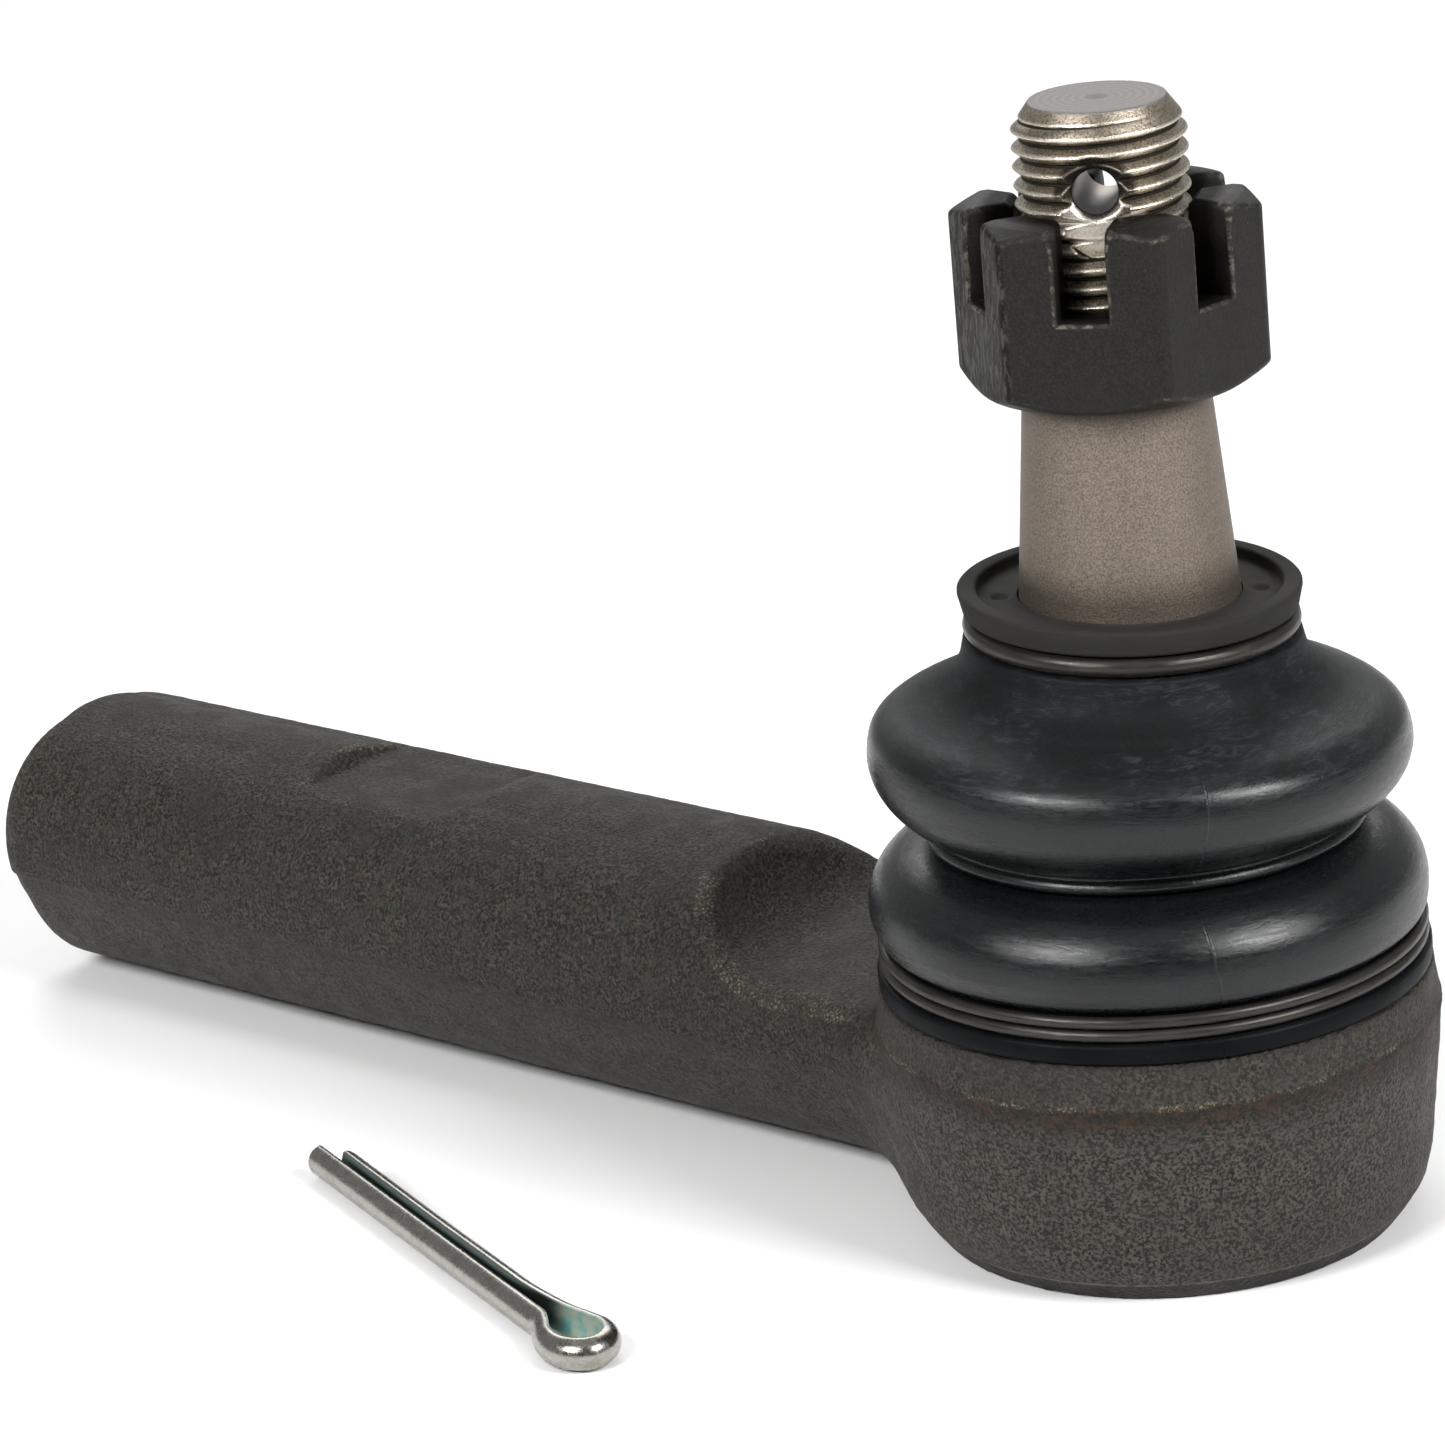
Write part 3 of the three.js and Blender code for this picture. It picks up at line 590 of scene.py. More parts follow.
def zinc_steel():
    """The cotter pin: bright zinc, with a green-blue tint on the faces that look inwards."""
    look = Look("zinc_steel")
    sand = look.noise(0.25, detail=4, rough=0.7)
    cloud = look.noise(1.6, detail=3)
    base = look.mix(look.range(sand, 0.3, 0.7), (0.285, 0.277, 0.250), (0.375, 0.367, 0.337))
    base = look.mix(look.range(cloud, 0.45, 0.7, 0, 0.5), base, (0.22, 0.195, 0.155))
    inner = look.marked("inner", 0.2, 0.8)
    eye = look.marked("eye", 0, 1)
    tinted = look.mix(look.range(cloud, 0.40, 0.60), (0.20, 0.42, 0.40), (0.46, 0.50, 0.42))
    base = look.mix(inner, base, look.mix(eye, (0.12, 0.16, 0.15), tinted))
    rough = look.plus(look.range(sand, 0.3, 0.7, 0.2, 0.30), look.times(inner, 0.15))
    metal = look.minus(1.0, look.times(eye, look.times(inner, 0.5)))
    look.set(Base_Color=base, Metallic=metal, Roughness=rough, Normal=look.bump(sand, 0.012))
    return look.material


def nylon():
    look = Look("nylon")
    cloud = look.noise(2, detail=3)
    base = look.mix(look.range(cloud, 0.3, 0.7), (0.66, 0.62, 0.53), (0.76, 0.73, 0.65))
    look.set(Base_Color=base, Roughness=look.range(cloud, 0.3, 0.7, 0.45, 0.6),
             Normal=look.bump(look.noise(0.3), 0.02))
    return look.material


def paper():
    """The pale ground under the part."""
    look = Look("paper")
    grain = look.noise(40, detail=2)
    look.set(Base_Color=look.mix(grain, (0.90, 0.90, 0.90), (0.93, 0.93, 0.93)), Roughness=0.9)
    return look.material


def dress(piece, material, body, slot, *stands_for):
    """Gives a finished piece its material and body, and hides the CAD nodes it stands for. slot is not used.
    """
    piece.data.materials.clear()
    piece.data.materials.append(material)
    if stands_for:
        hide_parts(*stands_for)
    if body:
        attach(piece, body)
    return piece


# ---------------------------------------------------------------- housing

SHANK_R = 12.5
SHOULDER_Z = 21.3
SOCKET_NECK_R = 19.4
RIDGE_Z = 17.8
PARTING_Z = 11.3
PARTING_STEP = 0.35
SWELL = 1.1
SWELL_ANGLE = math.radians(25)
BORE_R = 8.1
BORE_DEPTH = 50
SEAT_BORE_R = 13.9
BALL_Z = 14.5
FLAT_DEPTH = 11
FLAT_X = (-91.5, -75)

SOCKET_OUTLINE = [
    (0, 0), (19, 0), (20.25, 1.65), (21.2, 3.1), (21.75, 5.2), (22.75, 14.2), (22.95, RIDGE_Z - 0.9),
    (23.12, RIDGE_Z - 0.1), (22.9, RIDGE_Z + 0.5), (22.55, SHOULDER_Z), (SOCKET_NECK_R, SHOULDER_Z),
    (SOCKET_NECK_R, 26.2), (SOCKET_NECK_R - 0.8, 27), (0, 27),
]
CAVITY_OUTLINE = [
    (0, -1), (15.3, -1), (15.3, 2.8), (SEAT_BORE_R, 2.8), (SEAT_BORE_R, 22), (11.6, 22), (14.6, 28), (0, 28),
]
SCOOP_OUTLINE = [
    (0, 18.7), (34, 18.7), (35.5, 18.83), (37, 19.22), (38.5, 19.92), (39.8, 20.85), (40.8, 21.82),
    (41.5, 22.65), (43.2, 25.05), (46.6, 25.95), (46.6, 40), (0, 40),
]
SCOOP_TIP = 0.06  # the scoop's floor drops towards the front by this slope
SCOOP_PIVOT_Y = 8


def shank_distance(x, y, z):
    up = z - SHANK_R
    across = np.hypot(y, up)
    rise = np.arctan2(up, np.abs(y)) - SWELL_ANGLE
    round_r = SHANK_R + SWELL * np.cos(2 * np.clip(rise, -math.pi / 4, math.pi / 4))
    # The dies met a little out of step: below the parting line the sides stand back.
    round_r = round_r - PARTING_STEP * smooth_step(PARTING_Z - z, -0.15, 0.15) * smooth_step(z, 2, 8)
    end = housing_low[0] - x
    body = smooth_max(across - round_r, end, 0.5)
    body = smooth_max(body, (across - round_r + end) * math.sqrt(0.5) + 0.85, 1.1)
    for side in (1, -1):
        depth = side * (z - SHANK_R) - FLAT_DEPTH
        steep = (x - FLAT_X[0]) * 0.75 + depth * 0.6
        gentle = (FLAT_X[1] - x) * 0.45 + depth * 0.89
        cut = np.minimum(np.minimum(depth, steep), gentle)
        body = smooth_max(body, cut, 0.35)
    return body


def housing_distance(x, y, z):
    radius = np.hypot(x, y)
    shank = shank_distance(x, y, z)
    shank = np.maximum(shank, x + 8)
    tip = SCOOP_TIP * np.minimum(y - SCOOP_PIVOT_Y, 0)
    scoop = polygon_distance(radius, z - tip, SCOOP_OUTLINE)
    # The scoop's edge is soft on top and crisper at the front.
    soft = 2.0 + 0.6 * smooth_step(41 - radius, 0, 6) - 1.1 * smooth_step(-y, 1, 7)
    shank = smooth_max(shank, -scoop, soft)
    socket = polygon_distance(radius, z, SOCKET_OUTLINE)
    reach = 0.6 + (7 + 0.5 * smooth_step(z, 1, 9)) * (1 - smooth_step(z, 13, 18.6))
    body = smooth_min(shank, socket, reach)
    body = np.maximum(body, housing_low[2] - z)
    body = np.maximum(body, -polygon_distance(radius, z, CAVITY_OUTLINE))
    across = np.hypot(y, z - SHANK_R)
    depth = x - housing_low[0]
    bore = np.maximum(across - BORE_R, depth - BORE_DEPTH)
    bore = smooth_min(bore, across - (BORE_R + 0.9 - depth), 0.2)
    return smooth_max(body, -bore, 0.25)


def forging_relief(points):
    """Forged skin is uneven by a few hundredths of a millimetre, and true where it's machined."""
    x, y, z = points.T
    radius = np.hypot(x, y)
    skin = smooth_step(z, 0.1, 0.6)
    skin = skin * np.where(radius < 22, 1 - smooth_step(z, 20.4, 21), 1)
    skin = skin * smooth_step(x, housing_low[0] + 0.3, housing_low[0] + 1.5)
    skin = skin * np.where(np.hypot(y, z - SHANK_R) < 9, 0, 1)
    skin = np.where((radius < 18) & (z < 28), 0, skin)
    waves = 0.5 * fractal(points, 6, 3) + 0.5 * fractal(points, 1.4, 7)
    return skin * (0.06 * waves + 0.035 * fractal(points, 0.75, 11))


def make_housing(look):
    margin = 1.5
    housing = iso_mesh(
        "housing_forging", housing_distance, housing_low - margin, housing_high + margin, 0.46, forging_relief
    )
    sharpen(housing, 50)
    dress(housing, look, "socket", "forged_steel", "housing")


def make_shank_thread(look):
    """The internal thread of the shank, a liner in its bore."""
    minor, pitch, depth = 7.19, 1.5, 0.75
    low, high = housing_low[0] + 0.9, housing_low[0] + BORE_DEPTH - 0.2

    def liner(x, y, z):
        across = np.hypot(y, z - SHANK_R)
        turn = (x / pitch + np.arctan2(y, z - SHANK_R) / TURN) % 1
        tooth = np.clip((np.abs(turn - 0.5) - 1 / 8) / (5 / 16), 0, 1)
        inner = (minor + depth * tooth - across) * 0.5
        wall = np.maximum(across - (BORE_R + 0.25), inner)
        mouth = minor + 1.1 - (x - low) - across
        return np.maximum(np.maximum(wall, mouth * 0.7), np.maximum(low - x, x - high))

    # Only the first turns can be seen from outside.
    seen = low + 14
    corner = np.array([0, BORE_R + 1, SHANK_R])
    piece = iso_mesh(
        "shank_thread", lambda x, y, z: np.maximum(liner(x, y, z), x - seen),
        (low - 1, -corner[1], SHANK_R - corner[1]), (seen + 1, corner[1], SHANK_R + corner[1]), 0.22,
    )
    dress(sharpen(piece, 50), look, "socket", "forged_steel")


def make_cover(look):
    """The closing plate: a pressed disc with a dished middle and one round bead."""
    _, (reach, _, thickness) = box_mm("cover_plate")
    under = smooth_curve(
        [(0.01, 0.45), (6, 0.42), (8, 0.15), (9.5, 0.05), (11, 0.03), (12.2, 0.25), (13.2, 0.3),
         (14.3, 0.04)], 4
    )
    rim = [
        (reach - 0.25, 0.0), (reach, 0.25), (reach, thickness - 0.3), (reach - 0.3, thickness),
        (0.01, thickness),
    ]
    piece = turned_mesh("cover_disc", np.concatenate([under, rim]), even_angles(96))
    dress(sharpen(piece), look, "socket", "plate_steel", "cover_plate")


# ---------------------------------------------------------------- stud

THREAD_R = 6.95
PITCH = 1.5
THREAD_DEPTH = 0.9
CREST_Z = 90.0
STUD_SPLIT_Z = 70.4
HOLE_R = 1.78
HOLE_Z = 87.1
HOLE_AZIMUTH = math.radians(-57)
HOLE_TILT = math.tan(math.radians(2.5))
SINK_WIDTH = 1.35  # of the hole's countersink, beyond the hole
SPOT_R = 2.7  # the milled spot's half width
SPOT_DROP = 1.6  # how far its middle is below the hole's
SPOT_OUT = 6.15  # its flat's distance from the stud's axis


def make_stud_blank(look):
    """The ball, neck and taper, up to the relief under the nut."""
    ball_r = stud_high[0]
    flat = BALL_Z - stud_low[2]
    neck_r, taper_z, taper_r = 6.8, 52.5, 8.94
    start = -math.asin(flat / ball_r)
    stop = math.acos(neck_r / ball_r)
    ball = [(ball_r * math.cos(a), BALL_Z + ball_r * math.sin(a)) for a in np.linspace(start, stop, 28)]
    top_r = taper_r - (STUD_SPLIT_Z - 0.3 - taper_z) / 12
    flare = smooth_curve([(neck_r, 32), (7.4, 34.5), (8.4, 38), (8.9, 40)], 5)
    taper = [(taper_r - (z - taper_z) / 12, z) for z in np.linspace(taper_z, STUD_SPLIT_Z - 0.3, 24)]
    outline = [
        (0.01, stud_low[2]), *ball, (neck_r, 26), *flare, (8.9, 46), *taper,
        (top_r - 0.3, STUD_SPLIT_Z), (0.01, STUD_SPLIT_Z),
    ]
    piece = turned_mesh("stud_taper", outline, even_angles(128))
    dress(sharpen(piece), look, "stud", "turned_steel", "ball_stud")


def thread_distance(x, y, z):
    radius = np.hypot(x, y)
    angle = np.arctan2(y, x)
    left = FRONT - math.pi / 2
    turn = ((z - CREST_Z) / PITCH - (angle - left) / TURN + 0.5) % 1 - 0.5
    t = np.abs(turn) * 2
    tooth = (np.sqrt(t * t + 0.02) - 0.14) / 0.87
    rod = (radius - THREAD_R + THREAD_DEPTH * np.minimum(tooth, 0.94)) * 0.62
    top = stud_high[2]
    blank = polygon_distance(
        radius, z,
        [(0, STUD_SPLIT_Z - 0.2), (6, STUD_SPLIT_Z - 0.2), (6, 72.2), (7.2, 73.2), (7.2, top - 2.45),
         (5.42, top), (0, top)],
    )
    body = smooth_max(rod, blank, 0.12)
    # The cross hole, with a countersink and a milled spot below it, where the thread is smeared away.
    along = x * math.cos(HOLE_AZIMUTH) + y * math.sin(HOLE_AZIMUTH)
    aside = -x * math.sin(HOLE_AZIMUTH) + y * math.cos(HOLE_AZIMUTH)
    around = np.hypot(aside, z - HOLE_Z - HOLE_TILT * along)
    spot = np.hypot(aside, (z - HOLE_Z + SPOT_DROP) * 0.8) - SPOT_R
    spot = np.maximum(spot, SPOT_OUT - np.abs(along))
    sink = (around - (HOLE_R + SINK_WIDTH) + (THREAD_R - np.abs(along))) * 0.7
    body = smooth_max(body, -spot, 0.15)
    body = smooth_max(body, -sink, 0.1)
    return smooth_max(body, HOLE_R - around, 0.15)


def make_stud_thread(look):
    reach = THREAD_R + 0.8
    piece = iso_mesh(
        "stud_thread", thread_distance, (-reach, -reach, STUD_SPLIT_Z - 0.8),
        (reach, reach, stud_high[2] + 0.6), 0.13,
    )
    dress(piece, look, "stud", "turned_steel")


# ---------------------------------------------------------------- nut

NUT_CORNER = math.radians(27.3)
NUT_SLOT_HALF = 2.05
NUT_SLOT_Z = 78.2
NUT_FLAT = 11


def nut_distance(x, y, z):
    radius = np.hypot(x, y)
    low, high = nut_low[2], nut_high[2]
    asides = []
    body = None
    for i in range(3):
        facing = NUT_CORNER + math.radians(30 + 60 * i)
        along = x * math.cos(facing) + y * math.sin(facing)
        aside = -x * math.sin(facing) + y * math.cos(facing)
        asides.append(aside)
        flat = np.abs(along) - NUT_FLAT
        body = flat if body is None else smooth_max(body, flat, 0.6)
    envelope = polygon_distance(
        radius, z,
        [(0, low), (9.8, low), (10.6, low + 0.12), (12.67, low + 1.35), (12.67, high - 1.05),
         (10.9, high - 0.15), (10.2, high), (0, high)],
    )
    body = smooth_max(body, envelope, 0.35)
    bore = 7.05 + np.maximum(low + 0.65 - z, 0) * 1.3 + np.maximum(z - (high - 0.55), 0) * 1.2
    body = smooth_max(body, bore - radius, 0.15)
    for aside in asides:
        slot = np.maximum(np.abs(aside) - NUT_SLOT_HALF, NUT_SLOT_Z - z)
        body = smooth_max(body, -slot, 0.3 + 0.35 * smooth_step(z, high - 1.6, high - 0.8))
    return body


def make_nut(look):
    margin = 0.8
    piece = iso_mesh("nut_castle", nut_distance, nut_low - margin, nut_high + margin, 0.19)
    dress(sharpen(piece, 60), look, "nut", "phosphated_steel", "castle_nut")


# ---------------------------------------------------------------- boot and clamp rings

VALLEY = (16.7, 33.62)
UPPER_WIRE_R = 0.8
UPPER_RING_R = 12.75
UPPER_RING_Z = 50.9
LOWER_WIRE_R = 0.5
LOWER_RING_R = 21.87
LOWER_RING_Z = (23.65, 24.75)
SEAM_AZIMUTH = math.radians(-39)
DIMPLES = (math.radians(-140), math.radians(40))
DIMPLE_R = 10.4
LEAN = math.tan(math.radians(2.2))


def lean(radius, z, angle):
    """How far the boot's top leans: it sits higher on its left."""
    return -LEAN * smooth_step(z, 28, 50) * radius * np.cos(angle - FRONT - math.pi / 2)


def boot_shape(radius, z, angle):
    """The mould's seam, the rim's dimples, a slight unevenness and the lean, on plain turned rubber."""
    outer = smooth_step(radius, 16.1, 16.65)
    near_seam = np.zeros_like(radius)
    seam = np.zeros_like(radius)
    for azimuth in (SEAM_AZIMUTH, SEAM_AZIMUTH + math.pi):
        offset = (angle - azimuth + math.pi) % TURN - math.pi
        near_seam += np.exp(-((offset / math.radians(6)) ** 2))
        seam += np.exp(-((offset / math.radians(0.2)) ** 2))
    wander = math.radians(1.2) * np.sin(z / 3.1) * near_seam
    uneven = 0.10 * np.sin(2 * angle + 0.5 + z / 9) + 0.07 * np.sin(3 * angle + z / 5)
    bellows = smooth_step(z, 25.8, 28) * (1 - smooth_step(z, 46, 49))
    lower_bulge = smooth_step(z, 26, 28) * (1 - smooth_step(z, 31, 34))
    sideways = 0.22 * np.cos(angle - FRONT + math.pi / 2) * lower_bulge
    ridge = (0.09 + 0.07 * smooth_step(z, 42, 45)) * seam
    moved = radius + outer * (ridge + uneven * bellows + sideways)
    x, y = radius * np.cos(angle), radius * np.sin(angle)
    sunk = np.zeros_like(z)
    for azimuth in DIMPLES:
        away = np.hypot(x - DIMPLE_R * math.cos(azimuth), y - DIMPLE_R * math.sin(azimuth))
        sunk += 0.35 * (1 - smooth_step(away, 0.45, 0.85))
    floor = (z > 52.7) & (z < 53.6) & (radius < 12)
    return moved, z + lean(radius, z, angle) - np.where(floor, sunk, 0), angle + wander


def boot_angles():
    """Even columns, with more of them close to the seams."""
    near = np.radians([-0.9, -0.6, -0.42, -0.3, -0.2, -0.1, 0, 0.1, 0.2, 0.3, 0.42, 0.6, 0.9])
    wide = np.radians([-1.3, 1.3])
    close = [(azimuth + step) % TURN for azimuth in (SEAM_AZIMUTH, SEAM_AZIMUTH + math.pi)
             for step in (*near, *wide)]
    return np.unique(np.concatenate([even_angles(240), close]))


def make_boot(look):
    valley_r, valley_z = VALLEY
    inner_valley = (valley_r - 0.85, valley_z)
    low_wire, high_wire = LOWER_RING_Z
    groove_r = LOWER_RING_R - LOWER_WIRE_R - 0.05
    lip = [
        (19.5, 21.4), (19.6, 21.35), (22.35, 21.35), (22.5, 21.5), (22.56, 22.0), (22.56, 22.75),
        (22.45, 22.95), (22.2, low_wire - LOWER_WIRE_R - 0.12), (groove_r, low_wire - LOWER_WIRE_R - 0.02),
        (groove_r, high_wire + LOWER_WIRE_R + 0.05), (groove_r + 0.25, high_wire + LOWER_WIRE_R + 0.12),
    ]
    lower_bulge = smooth_curve(
        [(21.85, 25.6), (22.3, 26.2), (22.7, 27.3), (22.8, 28.4), (22.5, 29.9), (21.75, 31.2), (20.6, 32.3),
         (19.2, 33.05), (17.9, 33.45), VALLEY], 6,
    )
    lower_inside = smooth_curve(
        [inner_valley, (16.6, 32.1), (18.8, 31.2), (20.2, 29.6), (20.6, 28), (20.3, 26.8), (19.5, 26.0)], 5
    )
    upper_bulge = smooth_curve(
        [VALLEY, (17.25, 33.68), (17.75, 33.85), (18.0, 34.25), (17.85, 34.65), (17.5, 34.95), (17.7, 35.25),
         (18.7, 35.75), (20.1, 36.75), (21.1, 37.9), (21.7, 39.1), (21.95, 40.5), (21.7, 42.1), (21.15, 43.1),
         (20.05, 43.95), (18.4, 44.75), (16.5, 45.7), (14.9, 46.85), (14.05, 48.05), (13.7, 49.3),
         (13.6, 49.75)], 6,
    )
    groove_top_r = UPPER_RING_R - UPPER_WIRE_R - 0.03
    ring_low, ring_high = UPPER_RING_Z - UPPER_WIRE_R, UPPER_RING_Z + UPPER_WIRE_R
    rim = [
        (13.35, 49.95), (groove_top_r + 0.1, ring_low - 0.05), (groove_top_r, ring_low + 0.1),
        (groove_top_r, ring_high - 0.1), (groove_top_r + 0.1, ring_high + 0.1), (13.2, ring_high + 0.2),
        (13.4, 52.05), (13.45, 52.2), (13.78, 53.6), (13.78, 53.85), (13.65, 54.0), (13.45, 54.05),
        (12.5, 54.05), (12.32, 53.97), (12.25, 53.8), (12.2, 53.3), (12.05, 53.12),
    ]
    floor = [(r, 53.1) for r in np.arange(11.8, 9.3, -0.2)]
    collar = [(9.15, 53.1), (9.02, 53.25), (8.96, 53.1), (9.0, 48.5)]
    upper_inside = smooth_curve(
        [(9.3, 47.6), (12.4, 46.3), (14.5, 45.1), (17, 43.6), (19.2, 42), (20.1, 40.4), (19.8, 38.6),
         (18.9, 37.5), (17.9, 36.5), (17.0, 35.6), (16.3, 34.7), inner_valley], 5,
    )
    angles = boot_angles()
    lower_outline = np.concatenate([lip, lower_bulge, lower_inside])
    upper_outline = np.concatenate([upper_bulge, rim, floor, collar, upper_inside])
    lower = turned_mesh("boot_lower_bellows", lower_outline, angles, boot_shape)
    upper = turned_mesh("boot_upper_bellows", upper_outline, angles, boot_shape)
    for piece in (lower, upper):
        dress(sharpen(piece, 50), look, None, "boot_rubber", "dust_boot")
    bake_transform(lower)
    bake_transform(upper)


def make_clamp_rings(look):
    """The lower ring's wire makes nearly two turns, one above the other. The upper ring is closed."""
    gap = math.radians(44)
    stations = 420
    start = FRONT + math.pi + math.radians(22)
    angle = np.linspace(0, 2 * TURN - gap, stations)
    step = smooth_step(angle, TURN - gap, TURN)
    height = LOWER_RING_Z[0] + (LOWER_RING_Z[1] - LOWER_RING_Z[0]) * step
    radius = LOWER_RING_R + 0.04 * np.sin(3 * angle)
    path = np.stack([radius * np.cos(start + angle), radius * np.sin(start + angle), height], axis=1)
    ends = np.minimum(np.arange(stations), np.arange(stations)[::-1])
    scales = np.sqrt(np.clip((ends + 0.3) / 1.6, 0.05, 1))
    lower = swept_mesh("clamp_wire_lower", path, circle(LOWER_WIRE_R, 14), scales)
    dress(sharpen(lower, 60), look, "socket", "spring_steel", "lower_clamp_ring")
    angle = even_angles(220)
    ring_z = UPPER_RING_Z + lean(UPPER_RING_R, UPPER_RING_Z, angle)
    path = np.stack([UPPER_RING_R * np.cos(angle), UPPER_RING_R * np.sin(angle), ring_z], axis=1)
    plain = np.ones(len(angle))
    upper = swept_mesh("clamp_wire_upper", path, circle(UPPER_WIRE_R, 16), plain, closed=True)
    dress(upper, look, "boot_top", "spring_steel", "upper_clamp_ring")


# ---------------------------------------------------------------- cotter pin

PIN_WIRE_R = 1.43
PIN_NECK = (-27, -47)
PIN_AZIMUTH = math.radians(-21)
PIN_LONG_LEG = 44
PIN_SHORT_LEG = 39.7
PIN_LEG_RISE = 0.7  # the short leg has sprung up over the long one


def make_pin(look):
    """Half-round wire: the short leg, the eye and the long leg, with its flat side inwards.
    along holds (distance past the neck, offset, share of the short leg's rise)."""
    side = 0.06
    along = [
        (-PIN_SHORT_LEG, side + 0.1, 1), (-30, side + 0.05, 1), (-20, side, 1), (-9, side + 0.05, 1),
        (-5, 0.25, 0.8), (-2, 0.7, 0.5), (1.1, 1.4, 0.2), (3.4, 2.25, 0), (5, 2.55, 0), (6.4, 2.1, 0),
        (7.3, 1.1, 0), (7.35, 0.1, 0), (6.6, -0.8, 0), (5.3, -1.3, 0), (3.6, -1.15, 0), (1.9, -0.5, 0),
        (0.4, -side - 0.02, 0), (-2, -side, 0), (-10, -side, 0), (-20, -side, 0), (-32, -side, 0),
        (-PIN_LONG_LEG, -side, 0),
    ]
    level = smooth_curve(along, 16)
    cos, sin = math.cos(PIN_AZIMUTH), math.sin(PIN_AZIMUTH)
    x = PIN_NECK[0] + level[:, 0] * cos - level[:, 1] * sin
    y = PIN_NECK[1] + level[:, 0] * sin + level[:, 1] * cos
    path = np.stack([x, y, PIN_WIRE_R + PIN_LEG_RISE * level[:, 2]], axis=1)
    # The path turns clockwise round the eye, so the wire's round side is to its left, against outward.
    bevel = 0.12  # in millimetres on the flat side, in radians on the round one
    turn = np.linspace(bevel, math.pi - bevel, 18)
    arc = [(-PIN_WIRE_R * math.sin(a), PIN_WIRE_R * math.cos(a)) for a in turn]
    flat = [(0, -PIN_WIRE_R + bevel), (0, -0.7), (0, 0), (0, 0.7), (0, PIN_WIRE_R - bevel)]
    run = np.concatenate([[0], np.cumsum(np.linalg.norm(np.diff(path, axis=0), axis=1))])
    to_end = np.minimum(run, run[-1] - run)
    scales = np.sqrt(np.clip(1 - (1 - to_end / 0.7) ** 2, 0.08, 1)) * (to_end < 0.7) + (to_end >= 0.7)
    piece = swept_mesh("cotter_pin_wire", path, arc + flat, scales)
    mark(piece, "inner", np.tile([0] * len(arc) + [1] * len(flat), len(path)))
    mark(piece, "eye", np.repeat(smooth_step(level[:, 0], -2, 2.5), len(arc) + len(flat)))
    dress(sharpen(piece, 45), look, "pin", "zinc_steel", "cotter_pin")


# ---------------------------------------------------------------- hidden pieces

def dress_hidden(plastic, steel):
    for node, material in (
        ("upper_bearing_seat", plastic), ("lower_bearing_seat", plastic), ("preload_spring", steel)
    ):
        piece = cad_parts[node]
        piece.data.materials.clear()
        piece.data.materials.append(material)


# ---------------------------------------------------------------- stage, light and camera

def make_stage(material):
    bpy.ops.mesh.primitive_plane_add(size=12, location=(0, 0, -0.00005))
    ground = bpy.context.object
    ground.name = "ground"
    ground.data.materials.append(material)


def area_light(name, azimuth, elevation, distance, width, height, power):
    """A soft box that faces the part. Azimuth counts from +X towards +Y."""
    a, e = math.radians(azimuth), math.radians(elevation)
    back = Vector((math.cos(a) * math.cos(e), math.sin(a) * math.cos(e), math.sin(e)))
    data = bpy.data.lights.new(name, "AREA")
    data.shape = "RECTANGLE"
    data.size, data.size_y, data.energy = width, height, power
    lamp = bpy.data.objects.new(name, data)
    lamp.location = Vector((-0.03, 0, 0.04)) + back * distance
    lamp.rotation_mode = "QUATERNION"
    lamp.rotation_quaternion = (-back).to_track_quat("-Z", "Y")
    bpy.context.scene.collection.objects.link(lamp)


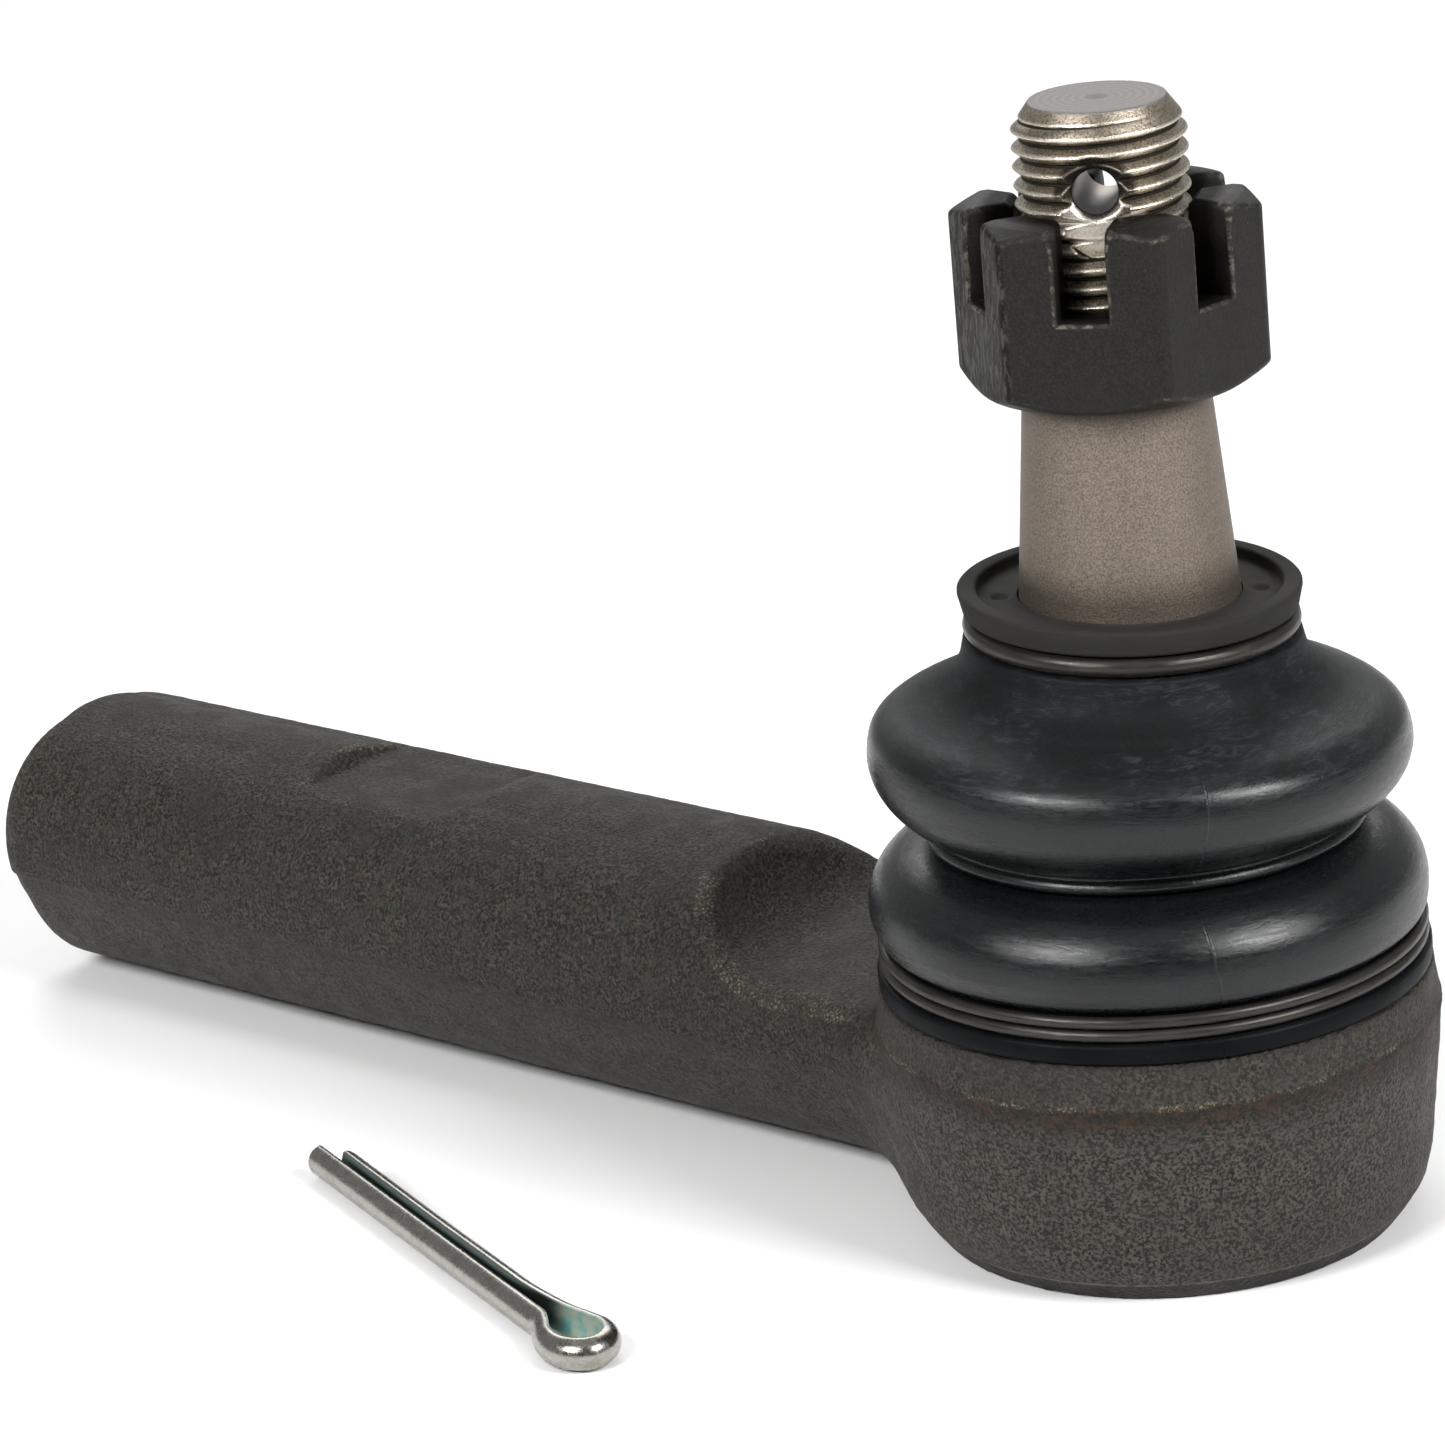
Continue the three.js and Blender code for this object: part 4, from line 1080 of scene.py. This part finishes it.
def make_lights():
    world = bpy.data.worlds.new("studio")
    bpy.context.scene.world = world
    world.use_nodes = True
    nodes, links = world.node_tree.nodes, world.node_tree.links
    background = nodes["Background"]
    background.inputs["Color"].default_value = (1, 1, 1, 1)
    # The room is pale but for a dark opening in front of the part and above it.
    toward = nodes.new("ShaderNodeVectorMath")
    toward.operation = "DOT_PRODUCT"
    links.new(nodes.new("ShaderNodeTexCoord").outputs["Generated"], toward.inputs[0])
    toward.inputs[1].default_value = Vector((math.cos(FRONT), math.sin(FRONT), 0.9)).normalized()
    shade = nodes.new("ShaderNodeMapRange")
    shade.interpolation_type = "SMOOTHSTEP"
    links.new(toward.outputs["Value"], shade.inputs["Value"])
    for key, number in (("From Min", 0.2), ("From Max", 0.7), ("To Min", 0.34), ("To Max", 0.04)):
        shade.inputs[key].default_value = number
    links.new(shade.outputs[0], background.inputs["Strength"])
    # Names, azimuth, elevation, distance, width, height, power.
    area_light("box_left", -91, 36, 0.75, 0.32, 0.24, 5.3)
    area_light("box_right", 1, 34, 0.75, 0.30, 0.24, 5.3)
    area_light("box_top", -51, 80, 0.85, 0.9, 0.9, 1.2)
    area_light("box_back", 130, 38, 0.9, 0.7, 0.5, 3.6)


def make_camera():
    """Seen from in front of the stud and a little above, rolled a few degrees."""
    data = bpy.data.cameras.new("camera")
    data.sensor_width, data.lens = 36, 156.1
    data.clip_start, data.clip_end = 0.01, 50
    camera = bpy.data.objects.new("camera", data)
    bpy.context.scene.collection.objects.link(camera)
    aim = Vector((-0.64742, 0.69437, -0.31418)).normalized()
    right = Vector((0.74760, 0.65873, -0.08467))
    right = (right - aim * right.dot(aim)).normalized()
    up = right.cross(aim)
    turn = Matrix((right, up, -aim)).transposed()
    camera.matrix_world = Matrix.Translation((0.30114, -0.37184, 0.20317)) @ turn.to_4x4()
    bpy.context.scene.camera = camera


forged = forged_steel()
wire = wire_steel()
make_housing(forged)
make_shank_thread(machined_steel("bore_steel", (0.20, 0.19, 0.18)))
make_cover(machined_steel("plate_steel", (0.16, 0.15, 0.14)))
make_stud_blank(taper_steel())
make_stud_thread(thread_steel())
make_nut(phosphate_steel())
make_boot(boot_rubber())
make_clamp_rings(wire)
make_pin(zinc_steel())
dress_hidden(nylon(), wire)
make_stage(paper())
make_lights()
make_camera()
bpy.context.scene.view_settings.view_transform = "Standard"
